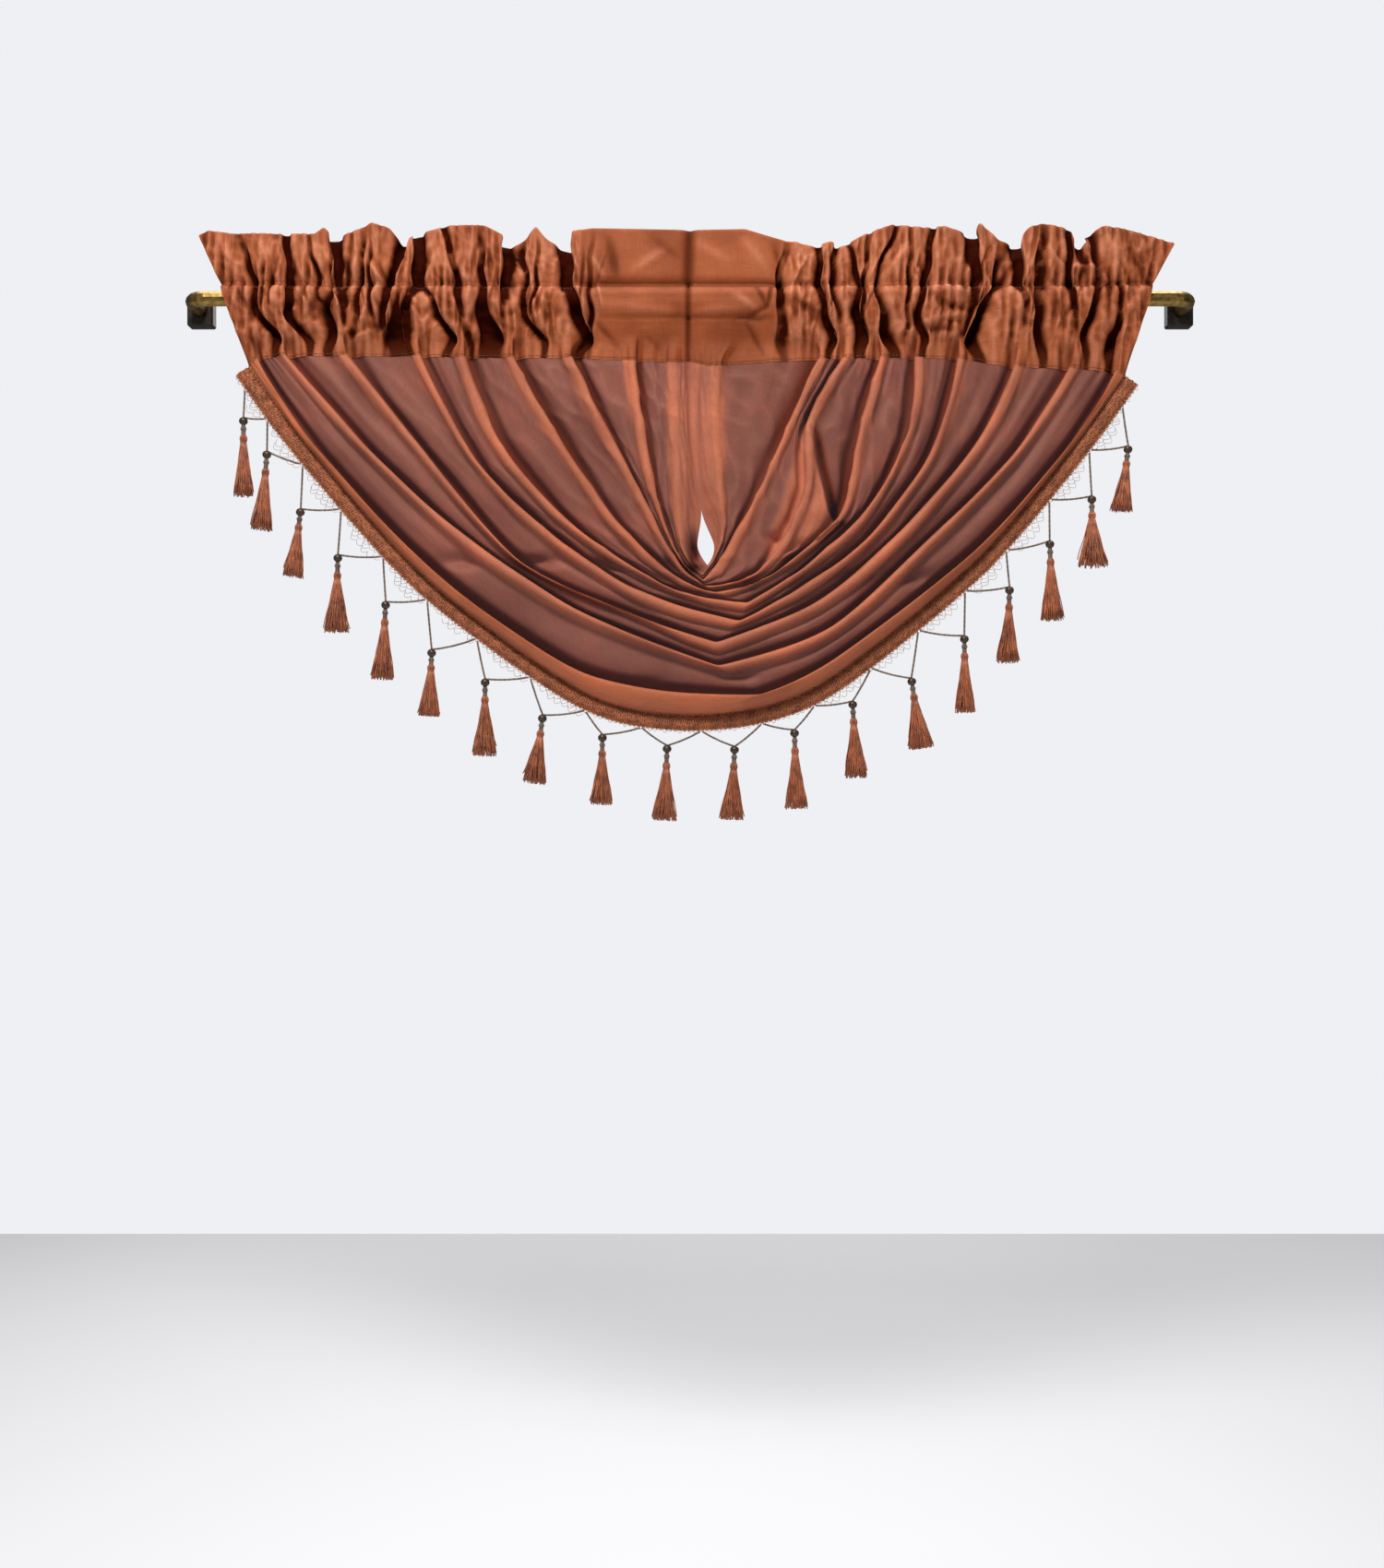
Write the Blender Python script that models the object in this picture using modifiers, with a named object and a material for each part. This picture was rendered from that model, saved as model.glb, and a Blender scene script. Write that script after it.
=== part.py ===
"""Swag valance with a rod-pocket heading, a beaded tassel fringe, and the curtain rod that it hangs on.

Frame: +Z up, the room is on the -Y side, the wall is the plane Y = 0. The origin is on the wall at
mid-span, level with the axis of the rod. Metres.

The cloth is one piece. Its heading is a standing ruffle over a rod pocket. Below the pocket the cloth
falls in folds that run from the left heading, round the front, to the right heading. Each fold is a row
of the fold tables, laid out on a front-view grid: x to the right of the centre seam, d down from the rod.
"""

import math

import bmesh
import bpy
import numpy as np
from mathutils import Vector

# ----------------------------------------------------------------------------- driving sizes, metres
GRID = 0.0009            # one unit of the front-view layout grid
ROD_DIAMETER = 0.015
ROD_REACH = 0.052        # wall to rod axis
ROD_HALF_SPAN = 0.4925   # centre to the axis of a return
ROD_BEND = 0.016         # centreline radius of the bent ends
BRACKET_WIDTH = 0.026
BRACKET_TOP = 0.012
BRACKET_BOTTOM = -0.017
BRACKET_DEPTH = 0.015
BRACKET_BORE = 0.0157
BRACKET_SOCKET = 0.010   # how deep the rod end sits
SHEET = 0.0012           # thickness of the draped sheet
HEADING = 0.0022         # thickness of the heading, two plies
STITCH_Z = 0.0130        # upper stitch line, over the rod
POCKET_FOOT_Z = -0.0150  # where the two walls of the pocket meet under the rod
POCKET_FOOT_Y = -0.0030
TOP_SPREAD = 1.112       # the heading is this much wider at its top edge than at the pocket seam
STITCH_SPREAD = 1.062
POCKET_WALL = 0.0012     # one ply of the pocket, round the rod
SLIT_STATION = 0.5       # the centre seam is sewn to here, and open below
BRAID_WIDTH = 0.0150
BRAID_THICK = 0.0030
GAP = 0.0003
CORD_DIAMETER = 0.0016
BEAD_DIAMETER = 0.0085
STEPS_ALONG = 12         # cloth steps from a heading to the centre
STEPS_ACROSS = (1.0, 0.92, 0.80, 0.66, 0.34, 0.16)  # where one fold's section is stepped

# Levels of the heading, from the pocket seam up. Heights are from the rod axis; a ruffle's is a share of it.
HEADING_LEVELS = [
    ("wall", -0.040), ("foot", POCKET_FOOT_Z), ("round", -0.0065), ("round", 0.003), ("stitch", STITCH_Z),
    ("ruffle", 0.5), ("ruffle", 1.0),
]
# Half the outer width of the pocket at its two levels beside the rod.
POCKET_HALF = [(-0.0065, 0.0110), (0.003, 0.0125)]

STATIONS = ("head", "high", "mid", "low", "vee")

# Folds, from the hem inwards. Each row gives where the line passes, at five stations from heading to centre.
LINE_COLUMNS = ("name", "head_x", "head_d", "high_x", "high_d", "mid_x", "mid_d", "low_x", "low_d", "vee_x", "vee_d")
LEFT_LINES = [
    ("hem",     -481, 74, -410, 169, -280, 312, -105, 435, 27, 454),
    ("roll",    -470, 66, -403, 166, -271, 303, -108, 412, 76, 433),
    ("fold_2",  -437, 63, -349, 164, -240, 263, -123, 340, 29, 402),
    ("fold_3",  -372, 63, -296, 157, -182, 290, -60, 346, 29, 376),
    ("fold_4",  -291, 63, -228, 182, -150, 256, -60, 318, 54, 353),
    ("fold_5",  -243, 65, -201, 162, -123, 251, -20, 317, 62, 333),
    ("fold_6",  -191, 65, -148, 140, -78, 245, -14, 305, 27, 322),
    ("fold_7",  -126, 65, -98, 125, -56, 206, -18, 282, 16, 315),
    ("fold_8",  -58, 68, -50, 130, -36, 215, -12, 281, 14, 308),
    ("fold_9",  -13, 70, -11, 130, -10, 200, -7, 272, 13, 301),
    ("seam",    1, 68, 2, 150, 12, 231, 8, 270, 19, 292),
]
RIGHT_LINES = [
    ("hem",     474, 84, 406, 175, 301, 295, 140, 422, 27, 454),
    ("roll",    463, 80, 400, 175, 308, 276, 160, 391, 76, 433),
    ("fold_2",  412, 77, 346, 175, 250, 272, 148, 360, 29, 402),
    ("fold_3",  352, 75, 308, 160, 226, 257, 138, 330, 29, 376),
    ("fold_4",  289, 66, 256, 175, 190, 264, 118, 317, 54, 353),
    ("fold_5",  243, 65, 234, 145, 190, 232, 122, 294, 62, 333),
    ("fold_6",  204, 65, 180, 150, 158, 240, 88, 302, 27, 322),
    ("fold_7",  164, 66, 124, 140, 120, 215, 76, 296, 16, 315),
    ("fold_8",  139, 66, 102, 145, 66, 224, 36, 278, 14, 308),
    ("fold_9",  20, 74, 21, 130, 27, 200, 34, 262, 13, 301),
    ("seam",    1, 68, 2, 150, 12, 231, 26, 270, 19, 292),
]

# How each line stands off the rod plane (front), how deep the hollow behind it is, and how far the
# cloth tucks in behind it, in mm, at the heading, half way and at the centre.
BODY_COLUMNS = ("name", "front_head", "front_mid", "front_vee", "deep_head", "deep_mid", "deep_vee", "tuck")
BODY = [
    ("hem",     3, 12, 14, 0, 0, 0, 0),
    ("roll",    9, 26, 34, 15, 27, 26, 10),
    ("fold_2", 10, 23, 29, 15, 25, 21, 9),
    ("fold_3", 10, 21, 25, 15, 24, 18, 9),
    ("fold_4", 10, 19, 22, 15, 22, 16, 8),
    ("fold_5", 10, 18, 19, 15, 20, 14, 8),
    ("fold_6", 10, 16, 17, 15, 19, 12, 7),
    ("fold_7", 10, 15, 15, 14, 17, 10, 6),
    ("fold_8",  8, 13, 12, 10, 13, 8, 4),
    ("fold_9",  8, 10, 10, 7, 9, 6, 3),
    ("seam",    2, 2, 6, 0, 0, 0, 0),
]

# Section of one fold, from its crest outwards to the next crest: shares of the spacing, of the ridge,
# of the tuck and of the depth.
SECTION_COLUMNS = ("step", "across", "ridge", "tuck", "depth")
SECTION = [
    (0.00, 0.00, 0.00, 0.00, 0.00),
    (0.06, 0.00, 0.42, 0.00, -0.10),
    (0.14, 0.00, 0.90, 0.00, -0.04),
    (0.22, 0.00, 1.18, 0.00, 0.16),
    (0.31, 0.08, 1.15, 0.00, 0.33),
    (0.48, 0.45, 0.45, 0.00, 0.34),
    (0.66, 0.76, 0.05, 0.00, 0.42),
    (0.75, 0.86, 0.00, 0.00, 0.54),
    (0.83, 0.93, 0.00, 0.00, 0.94),
    (0.89, 1.00, 0.00, 0.40, 1.00),
    (0.94, 1.00, 0.00, 0.70, 0.62),
    (0.975, 1.00, 0.00, 0.25, 0.20),
    (1.00, 1.00, 0.00, 0.00, 0.00),
]
RIDGE = 0.0095           # width of a fold's rounded ridge
RIDGE_SHARE = 0.36       # and the most of a fold's spacing that it takes
TENSION = 0.8            # how far the fold lines round their bends

# Gathers of the heading: where each hollow runs at the top edge, the stitch line, half way down the pocket
# and near its seam (grid), its half width at the top and at the foot, and its depth at the four heights.
GATHER_COLUMNS = ("top_x", "stitch_x", "mid_x", "low_x", "top_half", "low_half",
                  "top_deep", "stitch_deep", "mid_deep", "low_deep")
GATHERS = [
    (-493, -477, -473, -451, 5, 6, 1, 6, 6, 10),
    (-438, -432, -432, -414, 6, 6, 4, 6, 8, 6),
    (-418, -405, -404, -404, 3, 3, 1, 4, 1, 0),
    (-392, -392, -400, -394, 5, 7, 0, 5, 12, 9),
    (-381, -380, -372, -370, 9, 5, 13, 8, 3, 1),
    (-356, -361, -364, -364, 4, 4, 1, 6, 3, 0),
    (-348, -350, -346, -343, 3, 3, 0, 5, 3, 0),
    (-318, -331, -337, -333, 7, 5, 11, 8, 5, 2),
    (-316, -320, -318, -319, 5, 13, 0, 1, 5, 14),
    (-290, -295, -306, -304, 8, 5, 12, 6, 5, 6),
    (-286, -290, -280, -264, 4, 6, 0, 2, 8, 9),
    (-268, -251, -248, -240, 5, 5, 3, 6, 3, 3),
    (-228, -228, -228, -218, 5, 14, 0, 6, 9, 14),
    (-192, -196, -201, -203, 7, 4, 11, 8, 2, 0),
    (-183, -182, -185, -160, 4, 5, 2, 6, 6, 5),
    (-166, -168, -172, -158, 3, 3, 0, 5, 3, 0),
    (-146, -140, -130, -120, 10, 7, 13, 8, 10, 14),
    (-106, -110, -108, -112, 3, 4, 0, 4, 6, 3),
    (107, 100, 102, 102, 5, 8, 1, 9, 4, 5),
    (138, 136, 143, 151, 5, 5, 5, 8, 5, 10),
    (161, 157, 162, 164, 4, 4, 4, 8, 3, 0),
    (170, 180, 176, 184, 4, 8, 3, 6, 9, 11),
    (195, 189, 187, 187, 4, 3, 3, 5, 4, 0),
    (228, 207, 214, 222, 4, 8, 2, 8, 6, 13),
    (242, 238, 236, 236, 3, 3, 2, 5, 4, 0),
    (262, 253, 245, 252, 5, 5, 5, 6, 6, 8),
    (299, 308, 302, 298, 9, 4, 13, 6, 6, 2),
    (340, 336, 322, 314, 5, 9, 0, 7, 12, 14),
    (350, 355, 364, 364, 8, 4, 13, 6, 2, 0),
    (388, 383, 382, 385, 7, 6, 3, 5, 7, 9),
    (412, 410, 417, 417, 5, 5, 5, 9, 4, 0),
    (425, 430, 428, 428, 6, 4, 6, 3, 0, 0),
    (440, 448, 439, 432, 5, 5, 8, 4, 8, 6),
    (470, 468, 465, 455, 4, 6, 0, 1, 3, 11),
]
GATHER_DEPTH = 0.0013    # metres for one unit of a gather's depth
GATHER_PUFF = 0.005      # how far the cloth between the gathers stands forward

# Top edge of the ruffle: height over the rod axis in grid units.
TOP_COLUMNS = ("x", "top")
TOP_EDGE = [
    (-536, 66), (-526, 72), (-500, 69), (-408, 69), (-400, 77), (-384, 67), (-360, 75), (-347, 81),
    (-328, 76), (-322, 60), (-294, 71), (-266, 78), (-225, 78), (-203, 68), (-188, 56), (-168, 78),
    (-158, 62), (-143, 53), (-136, 72), (-108, 76), (0, 74), (60, 75), (90, 66), (132, 55),
    (155, 61), (162, 54), (190, 68), (220, 79), (252, 76), (277, 78), (305, 70), (315, 82),
    (337, 62), (349, 59), (370, 77), (387, 81), (412, 75), (425, 54), (449, 78), (472, 74), (527, 58),
]

# Tassels, left to right: centre of the bead, foot of the skirt, width of the skirt's foot (grid).
TASSEL_COLUMNS = ("bead_x", "bead_d", "foot_x", "foot_d", "skirt")
TASSELS = [
    (-486, 135, -486, 215, 22), (-460, 172, -466, 252, 24), (-423, 235, -431, 304, 23),
    (-382, 285, -384, 364, 29), (-330, 336, -334, 415, 26), (-280, 388, -283, 455, 25),
    (-222, 420, -223, 498, 27), (-160, 459, -169, 528, 27), (-95, 480, -96, 551, 26),
    (-25, 492, -28, 568, 28), (48, 493, 45, 567, 28), (113, 475, 115, 555, 26),
    (176, 444, 180, 522, 26), (240, 419, 250, 490, 29), (297, 373, 298, 451, 23),
    (346, 320, 344, 397, 25), (390, 270, 393, 351, 25), (436, 221, 437, 293, 34),
    (476, 166, 469, 232, 24),
]
# Where along the braid the cords are sewn on, between the tassels (grid x).
ATTACH_X = (-486, -461, -422, -380, -334, -286, -232, -174, -114, -53, 12, 78, 135, 196, 248, 299, 344, 391, 435, 472)

# Turned section of a tassel below its bead: share of the drop to the foot, radius as a share of the skirt.
TASSEL_SECTION_COLUMNS = ("drop", "radius")
TASSEL_SECTION = [(0.04, 0.10), (0.14, 0.13), (0.20, 0.17), (0.24, 0.13), (0.45, 0.26), (0.75, 0.40), (1.00, 0.50)]


def table(columns, rows):
    return [dict(zip(columns, row)) for row in rows]


def through(points, t):
    """Smooth curve through evenly stepped points, t in 0..1."""
    p = np.asarray(points, float)
    n = len(p) - 1
    slope = np.empty_like(p)
    slope[1:-1] = (p[2:] - p[:-2]) / 2
    slope[0] = 1.5 * (p[1] - p[0]) - 0.5 * slope[1]
    slope[-1] = 1.5 * (p[-1] - p[-2]) - 0.5 * slope[-2]
    slope[1:-1] *= TENSION
    at = np.clip(np.asarray(t, float), 0, 1) * n
    i = np.minimum(at.astype(int), n - 1)
    f = (at - i)[..., None]
    return (
        (2 * f**3 - 3 * f**2 + 1) * p[i]
        + (f**3 - 2 * f**2 + f) * slope[i]
        + (3 * f**2 - 2 * f**3) * p[i + 1]
        + (f**3 - f**2) * slope[i + 1]
    )


def eased(x, y, at):
    """Shape-keeping smooth curve through the points (x, y), with no overshoot."""
    x, y, at = np.asarray(x, float), np.asarray(y, float), np.asarray(at, float)
    step = np.diff(x)
    rate = np.diff(y) / step
    slope = np.zeros_like(y)
    both = rate[1:] * rate[:-1] > 0
    mean = 2 * rate[1:] * rate[:-1] / np.where(both, rate[1:] + rate[:-1], 1)
    slope[1:-1] = np.where(both, mean, 0)
    slope[0], slope[-1] = rate[0], rate[-1]
    i = np.clip(np.searchsorted(x, at, side="right") - 1, 0, len(x) - 2)
    h = step[i]
    f = (np.clip(at, x[0], x[-1]) - x[i]) / h
    return (
        (2 * f**3 - 3 * f**2 + 1) * y[i]
        + (f**3 - 2 * f**2 + f) * h * slope[i]
        + (3 * f**2 - 2 * f**3) * y[i + 1]
        + (f**3 - f**2) * h * slope[i + 1]
    )


def smooth(f):
    f = np.clip(f, 0, 1)
    return f * f * (3 - 2 * f)


def line_points(rows, s):
    """(lines, steps, 2): x and z of every fold line at the steps s of one side."""
    found = []
    for row in table(LINE_COLUMNS, rows):
        stations = [(row[a + "_x"] * GRID, -row[a + "_d"] * GRID) for a in STATIONS]
        found.append(through(stations, s))
    return np.array(found)


def body_values(name, s):
    """(lines, steps) of one of the BODY's values, in metres."""
    found = []
    for row in table(BODY_COLUMNS, BODY):
        ends = [row[name + "_head"], row[name + "_mid"], row[name + "_vee"]]
        found.append(eased([0, 0.5, 1], ends, s) / 1000)
    return np.array(found)


def fold_section(step):
    rows = table(SECTION_COLUMNS, SECTION)
    at = [row["step"] for row in rows]
    return [eased(at, [row[name] for row in rows], step) for name in SECTION_COLUMNS[1:]]


def row_places(steps):
    """Where each row of the cloth lies between the fold lines: 0 is the hem, then a whole number a line."""
    last = len(BODY) - 1
    places = [0.0, 0.34, 0.67]
    for k in range(1, last - 1):
        places += [k + 1 - step for step in steps]
    return np.array(places + [last - 1, last - 0.6, last - 0.25, float(last)])


def swag_side(rows, s, steps):
    """(across, along, 3): one side of the swag from the hem (first row) to the centre seam (last)."""
    line = line_points(rows, s)
    front = -ROD_REACH - body_values("front", s)
    deep = body_values("deep", s)
    last = len(line) - 1
    out = []
    for u in row_places(steps):
        k = min(int(u), last - 1)
        f = u - k
        inner, outer = line[k + 1], line[k]
        span = np.linalg.norm(outer - inner, axis=1)
        way = (outer - inner) / span[:, None]
        if k == 0:  # the hem rolls back from its crest by a quarter turn
            turn = (1 - f) * math.pi / 2
            place = span * math.sin(turn)
            y = front[1] + (front[0] - front[1]) * (1 - math.cos(turn))
        elif k == last - 1:  # from the ridge beside it down into the centre seam
            place = span * (1 - f)
            y = front[k] + (front[last] - front[k]) * smooth(f)
        else:
            across, ridge, tucked, depth = fold_section(1 - f)
            place = across * span + ridge * np.minimum(RIDGE, RIDGE_SHARE * span)
            place = place + tucked * np.minimum(BODY[k][-1] / 1000, 0.25 * span)
            y = front[k + 1] + (front[k] - front[k + 1]) * across + deep[k] * depth
        xz = inner + way * place[:, None]
        out.append(np.stack([xz[:, 0], y, xz[:, 1]], axis=-1))
    return np.array(out)


def gather_places(level):
    """x of every gather at one level of the heading, in grid units: 0 is the pocket seam, 3 the stitch line, 4 the top."""
    heights = ("low", "low", "mid", "stitch", "top")
    return [np.interp(level, range(5), [row[name + "_x"] for name in heights]) for row in table(GATHER_COLUMNS, GATHERS)]


def gather(x, level):
    """Depth of the heading's gathers at x on one level: positive is pushed to the back."""
    depth = np.zeros_like(x)
    heights = ("low", "low", "mid", "stitch", "top")
    for at, row in zip(gather_places(level), table(GATHER_COLUMNS, GATHERS)):
        deep = np.interp(level, range(5), [row[name + "_deep"] for name in heights])
        half = np.interp(level, [1, 3.5], [row["low_half"], row["top_half"]])
        away = (x / GRID - at) / np.maximum(half, 5)
        depth += deep * GATHER_DEPTH * (0.7 * np.exp(-0.69 * away**2) + 0.3 * np.exp(-0.69 * (away / 2.4) ** 2))
    return depth


def stitch_columns(lines, places):
    """Places on the stitch line for one half's heading columns, from the cloth's edge to the centre seam. A
    column runs up every gather, with at least one between each two, and one up every line of the flat centre."""
    heads = np.array([row[1] for row in lines], float)
    rows = np.interp(places, np.arange(len(heads)), heads)
    towards = np.sign(heads[-1] - heads[0])
    order = [k for k in np.argsort(towards * np.array(gather_places(3))) if towards * gather_places(3)[k] < 0]
    low, stitch = [gather_places(0)[k] for k in order], [gather_places(3)[k] for k in order]
    flat = [k for k in range(1, len(heads) - 1) if towards * heads[k] > towards * low[-1] + 12]
    index = [int(np.argmin(np.abs(rows - x))) for x in low]
    for k in range(len(index)):
        index[k] = max(index[k], index[k - 1] + 2 if k else 1)
    limit = int(np.argmin(np.abs(places - flat[0])))
    for k in reversed(range(len(index))):
        index[k] = min(index[k], limit - 2)
        limit = index[k]
    index = [0] + index + [int(np.argmin(np.abs(places - k))) for k in flat] + [len(places) - 1]
    found = [heads[0] * STITCH_SPREAD] + stitch + [heads[k] * STITCH_SPREAD for k in flat] + [heads[-1]]
    return np.interp(np.arange(len(places)), index, found)


def top_edge(x):
    rows = table(TOP_COLUMNS, TOP_EDGE)
    return np.interp(x / GRID, [r["x"] for r in rows], [r["top"] for r in rows]) * GRID


# ----------------------------------------------------------------------------- the cloth
def build_cloth_mesh():
    s = np.linspace(0, 1, STEPS_ALONG + 1)
    left = swag_side(LEFT_LINES, s, STEPS_ACROSS)
    right = swag_side(RIGHT_LINES, s, STEPS_ACROSS)
    rows = len(left)
    mid = STEPS_ALONG
    sheet = np.concatenate([left, right[:, -2::-1]], axis=1)  # (rows, 2 * mid + 1, 3)
    columns = sheet.shape[1]
    slit = round(SLIT_STATION * mid)
    # the sewn part of the seam is one line of points for both halves
    for c in range(slit + 1):
        both = (sheet[-1, c] + sheet[-1, columns - 1 - c]) / 2
        sheet[-1, c] = sheet[-1, columns - 1 - c] = both

    # heading columns: the left half's rows, the seam, then the right half's rows
    seam_row = np.concatenate([sheet[:, 0], sheet[-2::-1, -1]])
    across = len(seam_row)
    edges = [LEFT_LINES[0][1], RIGHT_LINES[0][1]]
    seam = LEFT_LINES[-1][1]
    halves = [stitch_columns(lines, row_places(STEPS_ACROSS)) for lines in (LEFT_LINES, RIGHT_LINES)]
    stitched = np.concatenate([halves[0], halves[1][-2::-1]])
    fixed = [edges[0] * STITCH_SPREAD] + gather_places(3) + [edges[1] * STITCH_SPREAD]
    middle = sum(x < 0 for x in fixed)
    fixed.insert(middle, seam)

    def column_places(level, spread):
        """x of the heading's columns at one level, so that each follows its gather up the heading."""
        moved = [edges[0] * spread] + gather_places(level) + [edges[1] * spread]
        moved.insert(middle, seam)
        return np.interp(stitched, fixed, np.maximum.accumulate(moved)) * GRID

    top = top_edge(column_places(4, TOP_SPREAD))

    def front_of(level):
        """Towards the front, square to the cloth and level."""
        run = np.diff(level, axis=0) * (1, 1, 0)
        run /= np.linalg.norm(run, axis=1, keepdims=True)
        run = np.concatenate([run[:1], run]) + np.concatenate([run, run[-1:]])
        side = np.stack([run[:, 1], -run[:, 0], 0 * run[:, 0]], axis=-1)
        return side / np.linalg.norm(side, axis=1, keepdims=True)

    outer_front, outer_back, inner_front, inner_back = [], [], [], []
    for kind, z in HEADING_LEVELS:
        if kind == "ruffle":
            up, low, high = 3 + z, 1.0, z
            z = STITCH_Z + (top - STITCH_Z) * z
        else:
            up = np.interp(z, [-0.066, -0.045, -0.0155, STITCH_Z], [0, 1, 2, 3])
            low, high = np.interp(z, [-0.066, STITCH_Z], [0, 1]), 0.0
        z = np.broadcast_to(np.asarray(z, float), (across,))
        x = column_places(up, 1 + (STITCH_SPREAD - 1) * low + (TOP_SPREAD - STITCH_SPREAD) * high)
        deep = np.clip(gather(x, up) - GATHER_PUFF, -GATHER_PUFF, 0.014)
        # how much of the swag's fold section is left here
        loose = 1 - smooth(3.0 * (z - seam_row[:, 2]) / (STITCH_Z - seam_row[:, 2]))
        x = x + (seam_row[:, 0] - x) * loose
        if kind == "round":
            half = dict(POCKET_HALF)[float(z[0])]
            front = -ROD_REACH - half - np.clip(-deep, 0, GATHER_PUFF)
            back = -ROD_REACH + half + np.clip(0.002 + 0.4 * deep, 0, 0.003)
            inner_front.append(np.stack([x, front + POCKET_WALL, z], axis=-1))
            inner_back.append(np.stack([x, back - POCKET_WALL, z], axis=-1))
            outer_front.append(np.stack([x, front, z], axis=-1))
            outer_back.append(np.stack([x, back, z], axis=-1))
            continue
        if kind == "wall":
            y = -ROD_REACH - 0.004 + deep
            y = y + (seam_row[:, 1] - y) * loose
        elif kind == "foot":
            y = -ROD_REACH + POCKET_FOOT_Y + np.where(deep < 0, 0.9 * deep, 0.3 * deep)
        elif kind == "stitch":
            y = -ROD_REACH + np.clip(deep, -0.005, 0.003) * 0.6
        else:
            y = -ROD_REACH + deep * (0.7 + 0.3 * high)
        level = np.stack([x, y, z], axis=-1)
        thick = SHEET * 1.1 if kind == "wall" else HEADING
        side = front_of(level)
        outer_front.append(level + side * thick / 2)
        outer_back.append(level - side * thick / 2)

    # thickness of the sheet along its own normal
    def unit(v):
        return v / np.maximum(np.linalg.norm(v, axis=-1, keepdims=True), 1e-12)

    step = unit(np.diff(sheet, axis=0))
    before, after = np.concatenate([step[:1], step]), np.concatenate([step, step[-1:]])
    normal = unit(np.cross(before + after, np.gradient(sheet, axis=1)))
    # a little further out where the rows bend sharply, so that the sheet keeps its thickness there
    bend = np.sum(before * after, axis=-1, keepdims=True)
    reach = np.minimum(1 / np.sqrt(np.maximum((1 + bend) / 2, 0.1)), 1.3)
    if np.mean(normal[:, mid // 2, 1]) > 0:
        normal = -normal
    for c in range(slit + 1):
        both = unit(normal[-1, c] + normal[-1, columns - 1 - c])
        normal[-1, c] = normal[-1, columns - 1 - c] = both
    # at the pocket seam the thickness is level, as in the heading above it
    side = front_of(seam_row)
    normal[:, 0], normal[:, -1] = side[:rows], side[rows - 1 :][::-1]
    reach[:, 0] = reach[:, -1] = 1
    skin_front = sheet + normal * reach * SHEET / 2
    skin_back = sheet - normal * reach * SHEET / 2

    points, faces, index = [], [], {}

    def vertex(key, place):
        if key not in index:
            index[key] = len(points)
            points.append(tuple(float(v) for v in place))
        return index[key]

    def swag(side, r, c):
        if r == rows - 1 and c >= columns - 1 - slit:
            c = columns - 1 - c
        return vertex((side, r, c), (skin_front if side == "f" else skin_back)[r, c])

    def head(side, h, v):
        """v = 0 is the pocket seam, shared with the swag."""
        if v == 0:
            return swag(side, h, 0) if h < rows else swag(side, 2 * rows - 2 - h, columns - 1)
        place = (outer_front if side == "f" else outer_back)[v - 1][h]
        return vertex(("head", side, h, v), place)

    def skins(quads, like=None):
        """Add one quad on each skin (every second one turned round), all cut along the same diagonal."""
        a, b, c, d = (np.array(points[i]) for i in (like or quads[0]))
        short = np.linalg.norm(a - c) <= np.linalg.norm(b - d)
        halves = ((0, 1, 2), (0, 2, 3)) if short else ((0, 1, 3), (1, 2, 3))
        for turned, quad in enumerate(quads):
            for half in halves:
                faces.append([quad[i] for i in (half[::-1] if turned else half)])

    for r in range(rows - 1):
        for c in range(columns - 1):
            corners = [(r, c), (r, c + 1), (r + 1, c + 1), (r + 1, c)]
            skins([[swag(side, *corner) for corner in corners] for side in "fb"])
    for h in range(across - 1):
        for v in range(len(HEADING_LEVELS)):
            corners = [(h, v), (h + 1, v), (h + 1, v + 1), (h, v + 1)]
            skins([[head(side, *corner) for corner in corners] for side in "fb"])
    for c in range(columns - 1):
        faces.append([swag("f", 0, c), swag("b", 0, c), swag("b", 0, c + 1), swag("f", 0, c + 1)])
    for c in range(slit, columns - 1 - slit):
        faces.append([swag("f", rows - 1, c), swag("f", rows - 1, c + 1), swag("b", rows - 1, c + 1), swag("b", rows - 1, c)])
    for h in range(across - 1):
        v = len(HEADING_LEVELS)
        faces.append([head("f", h, v), head("f", h + 1, v), head("b", h + 1, v), head("b", h, v)])

    # the tunnel of the rod pocket, open at both ends
    foot, stitch = 2, 5  # heading levels where the walls part and meet

    def tunnel(side, h, v):
        if v in (foot, stitch):
            place = (np.array(outer_front[v - 1][h]) + np.array(outer_back[v - 1][h])) / 2
            return vertex(("tunnel", h, v), place)
        place = (inner_front if side == "f" else inner_back)[v - foot - 1][h]
        return vertex(("tunnel", side, h, v), place)

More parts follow.
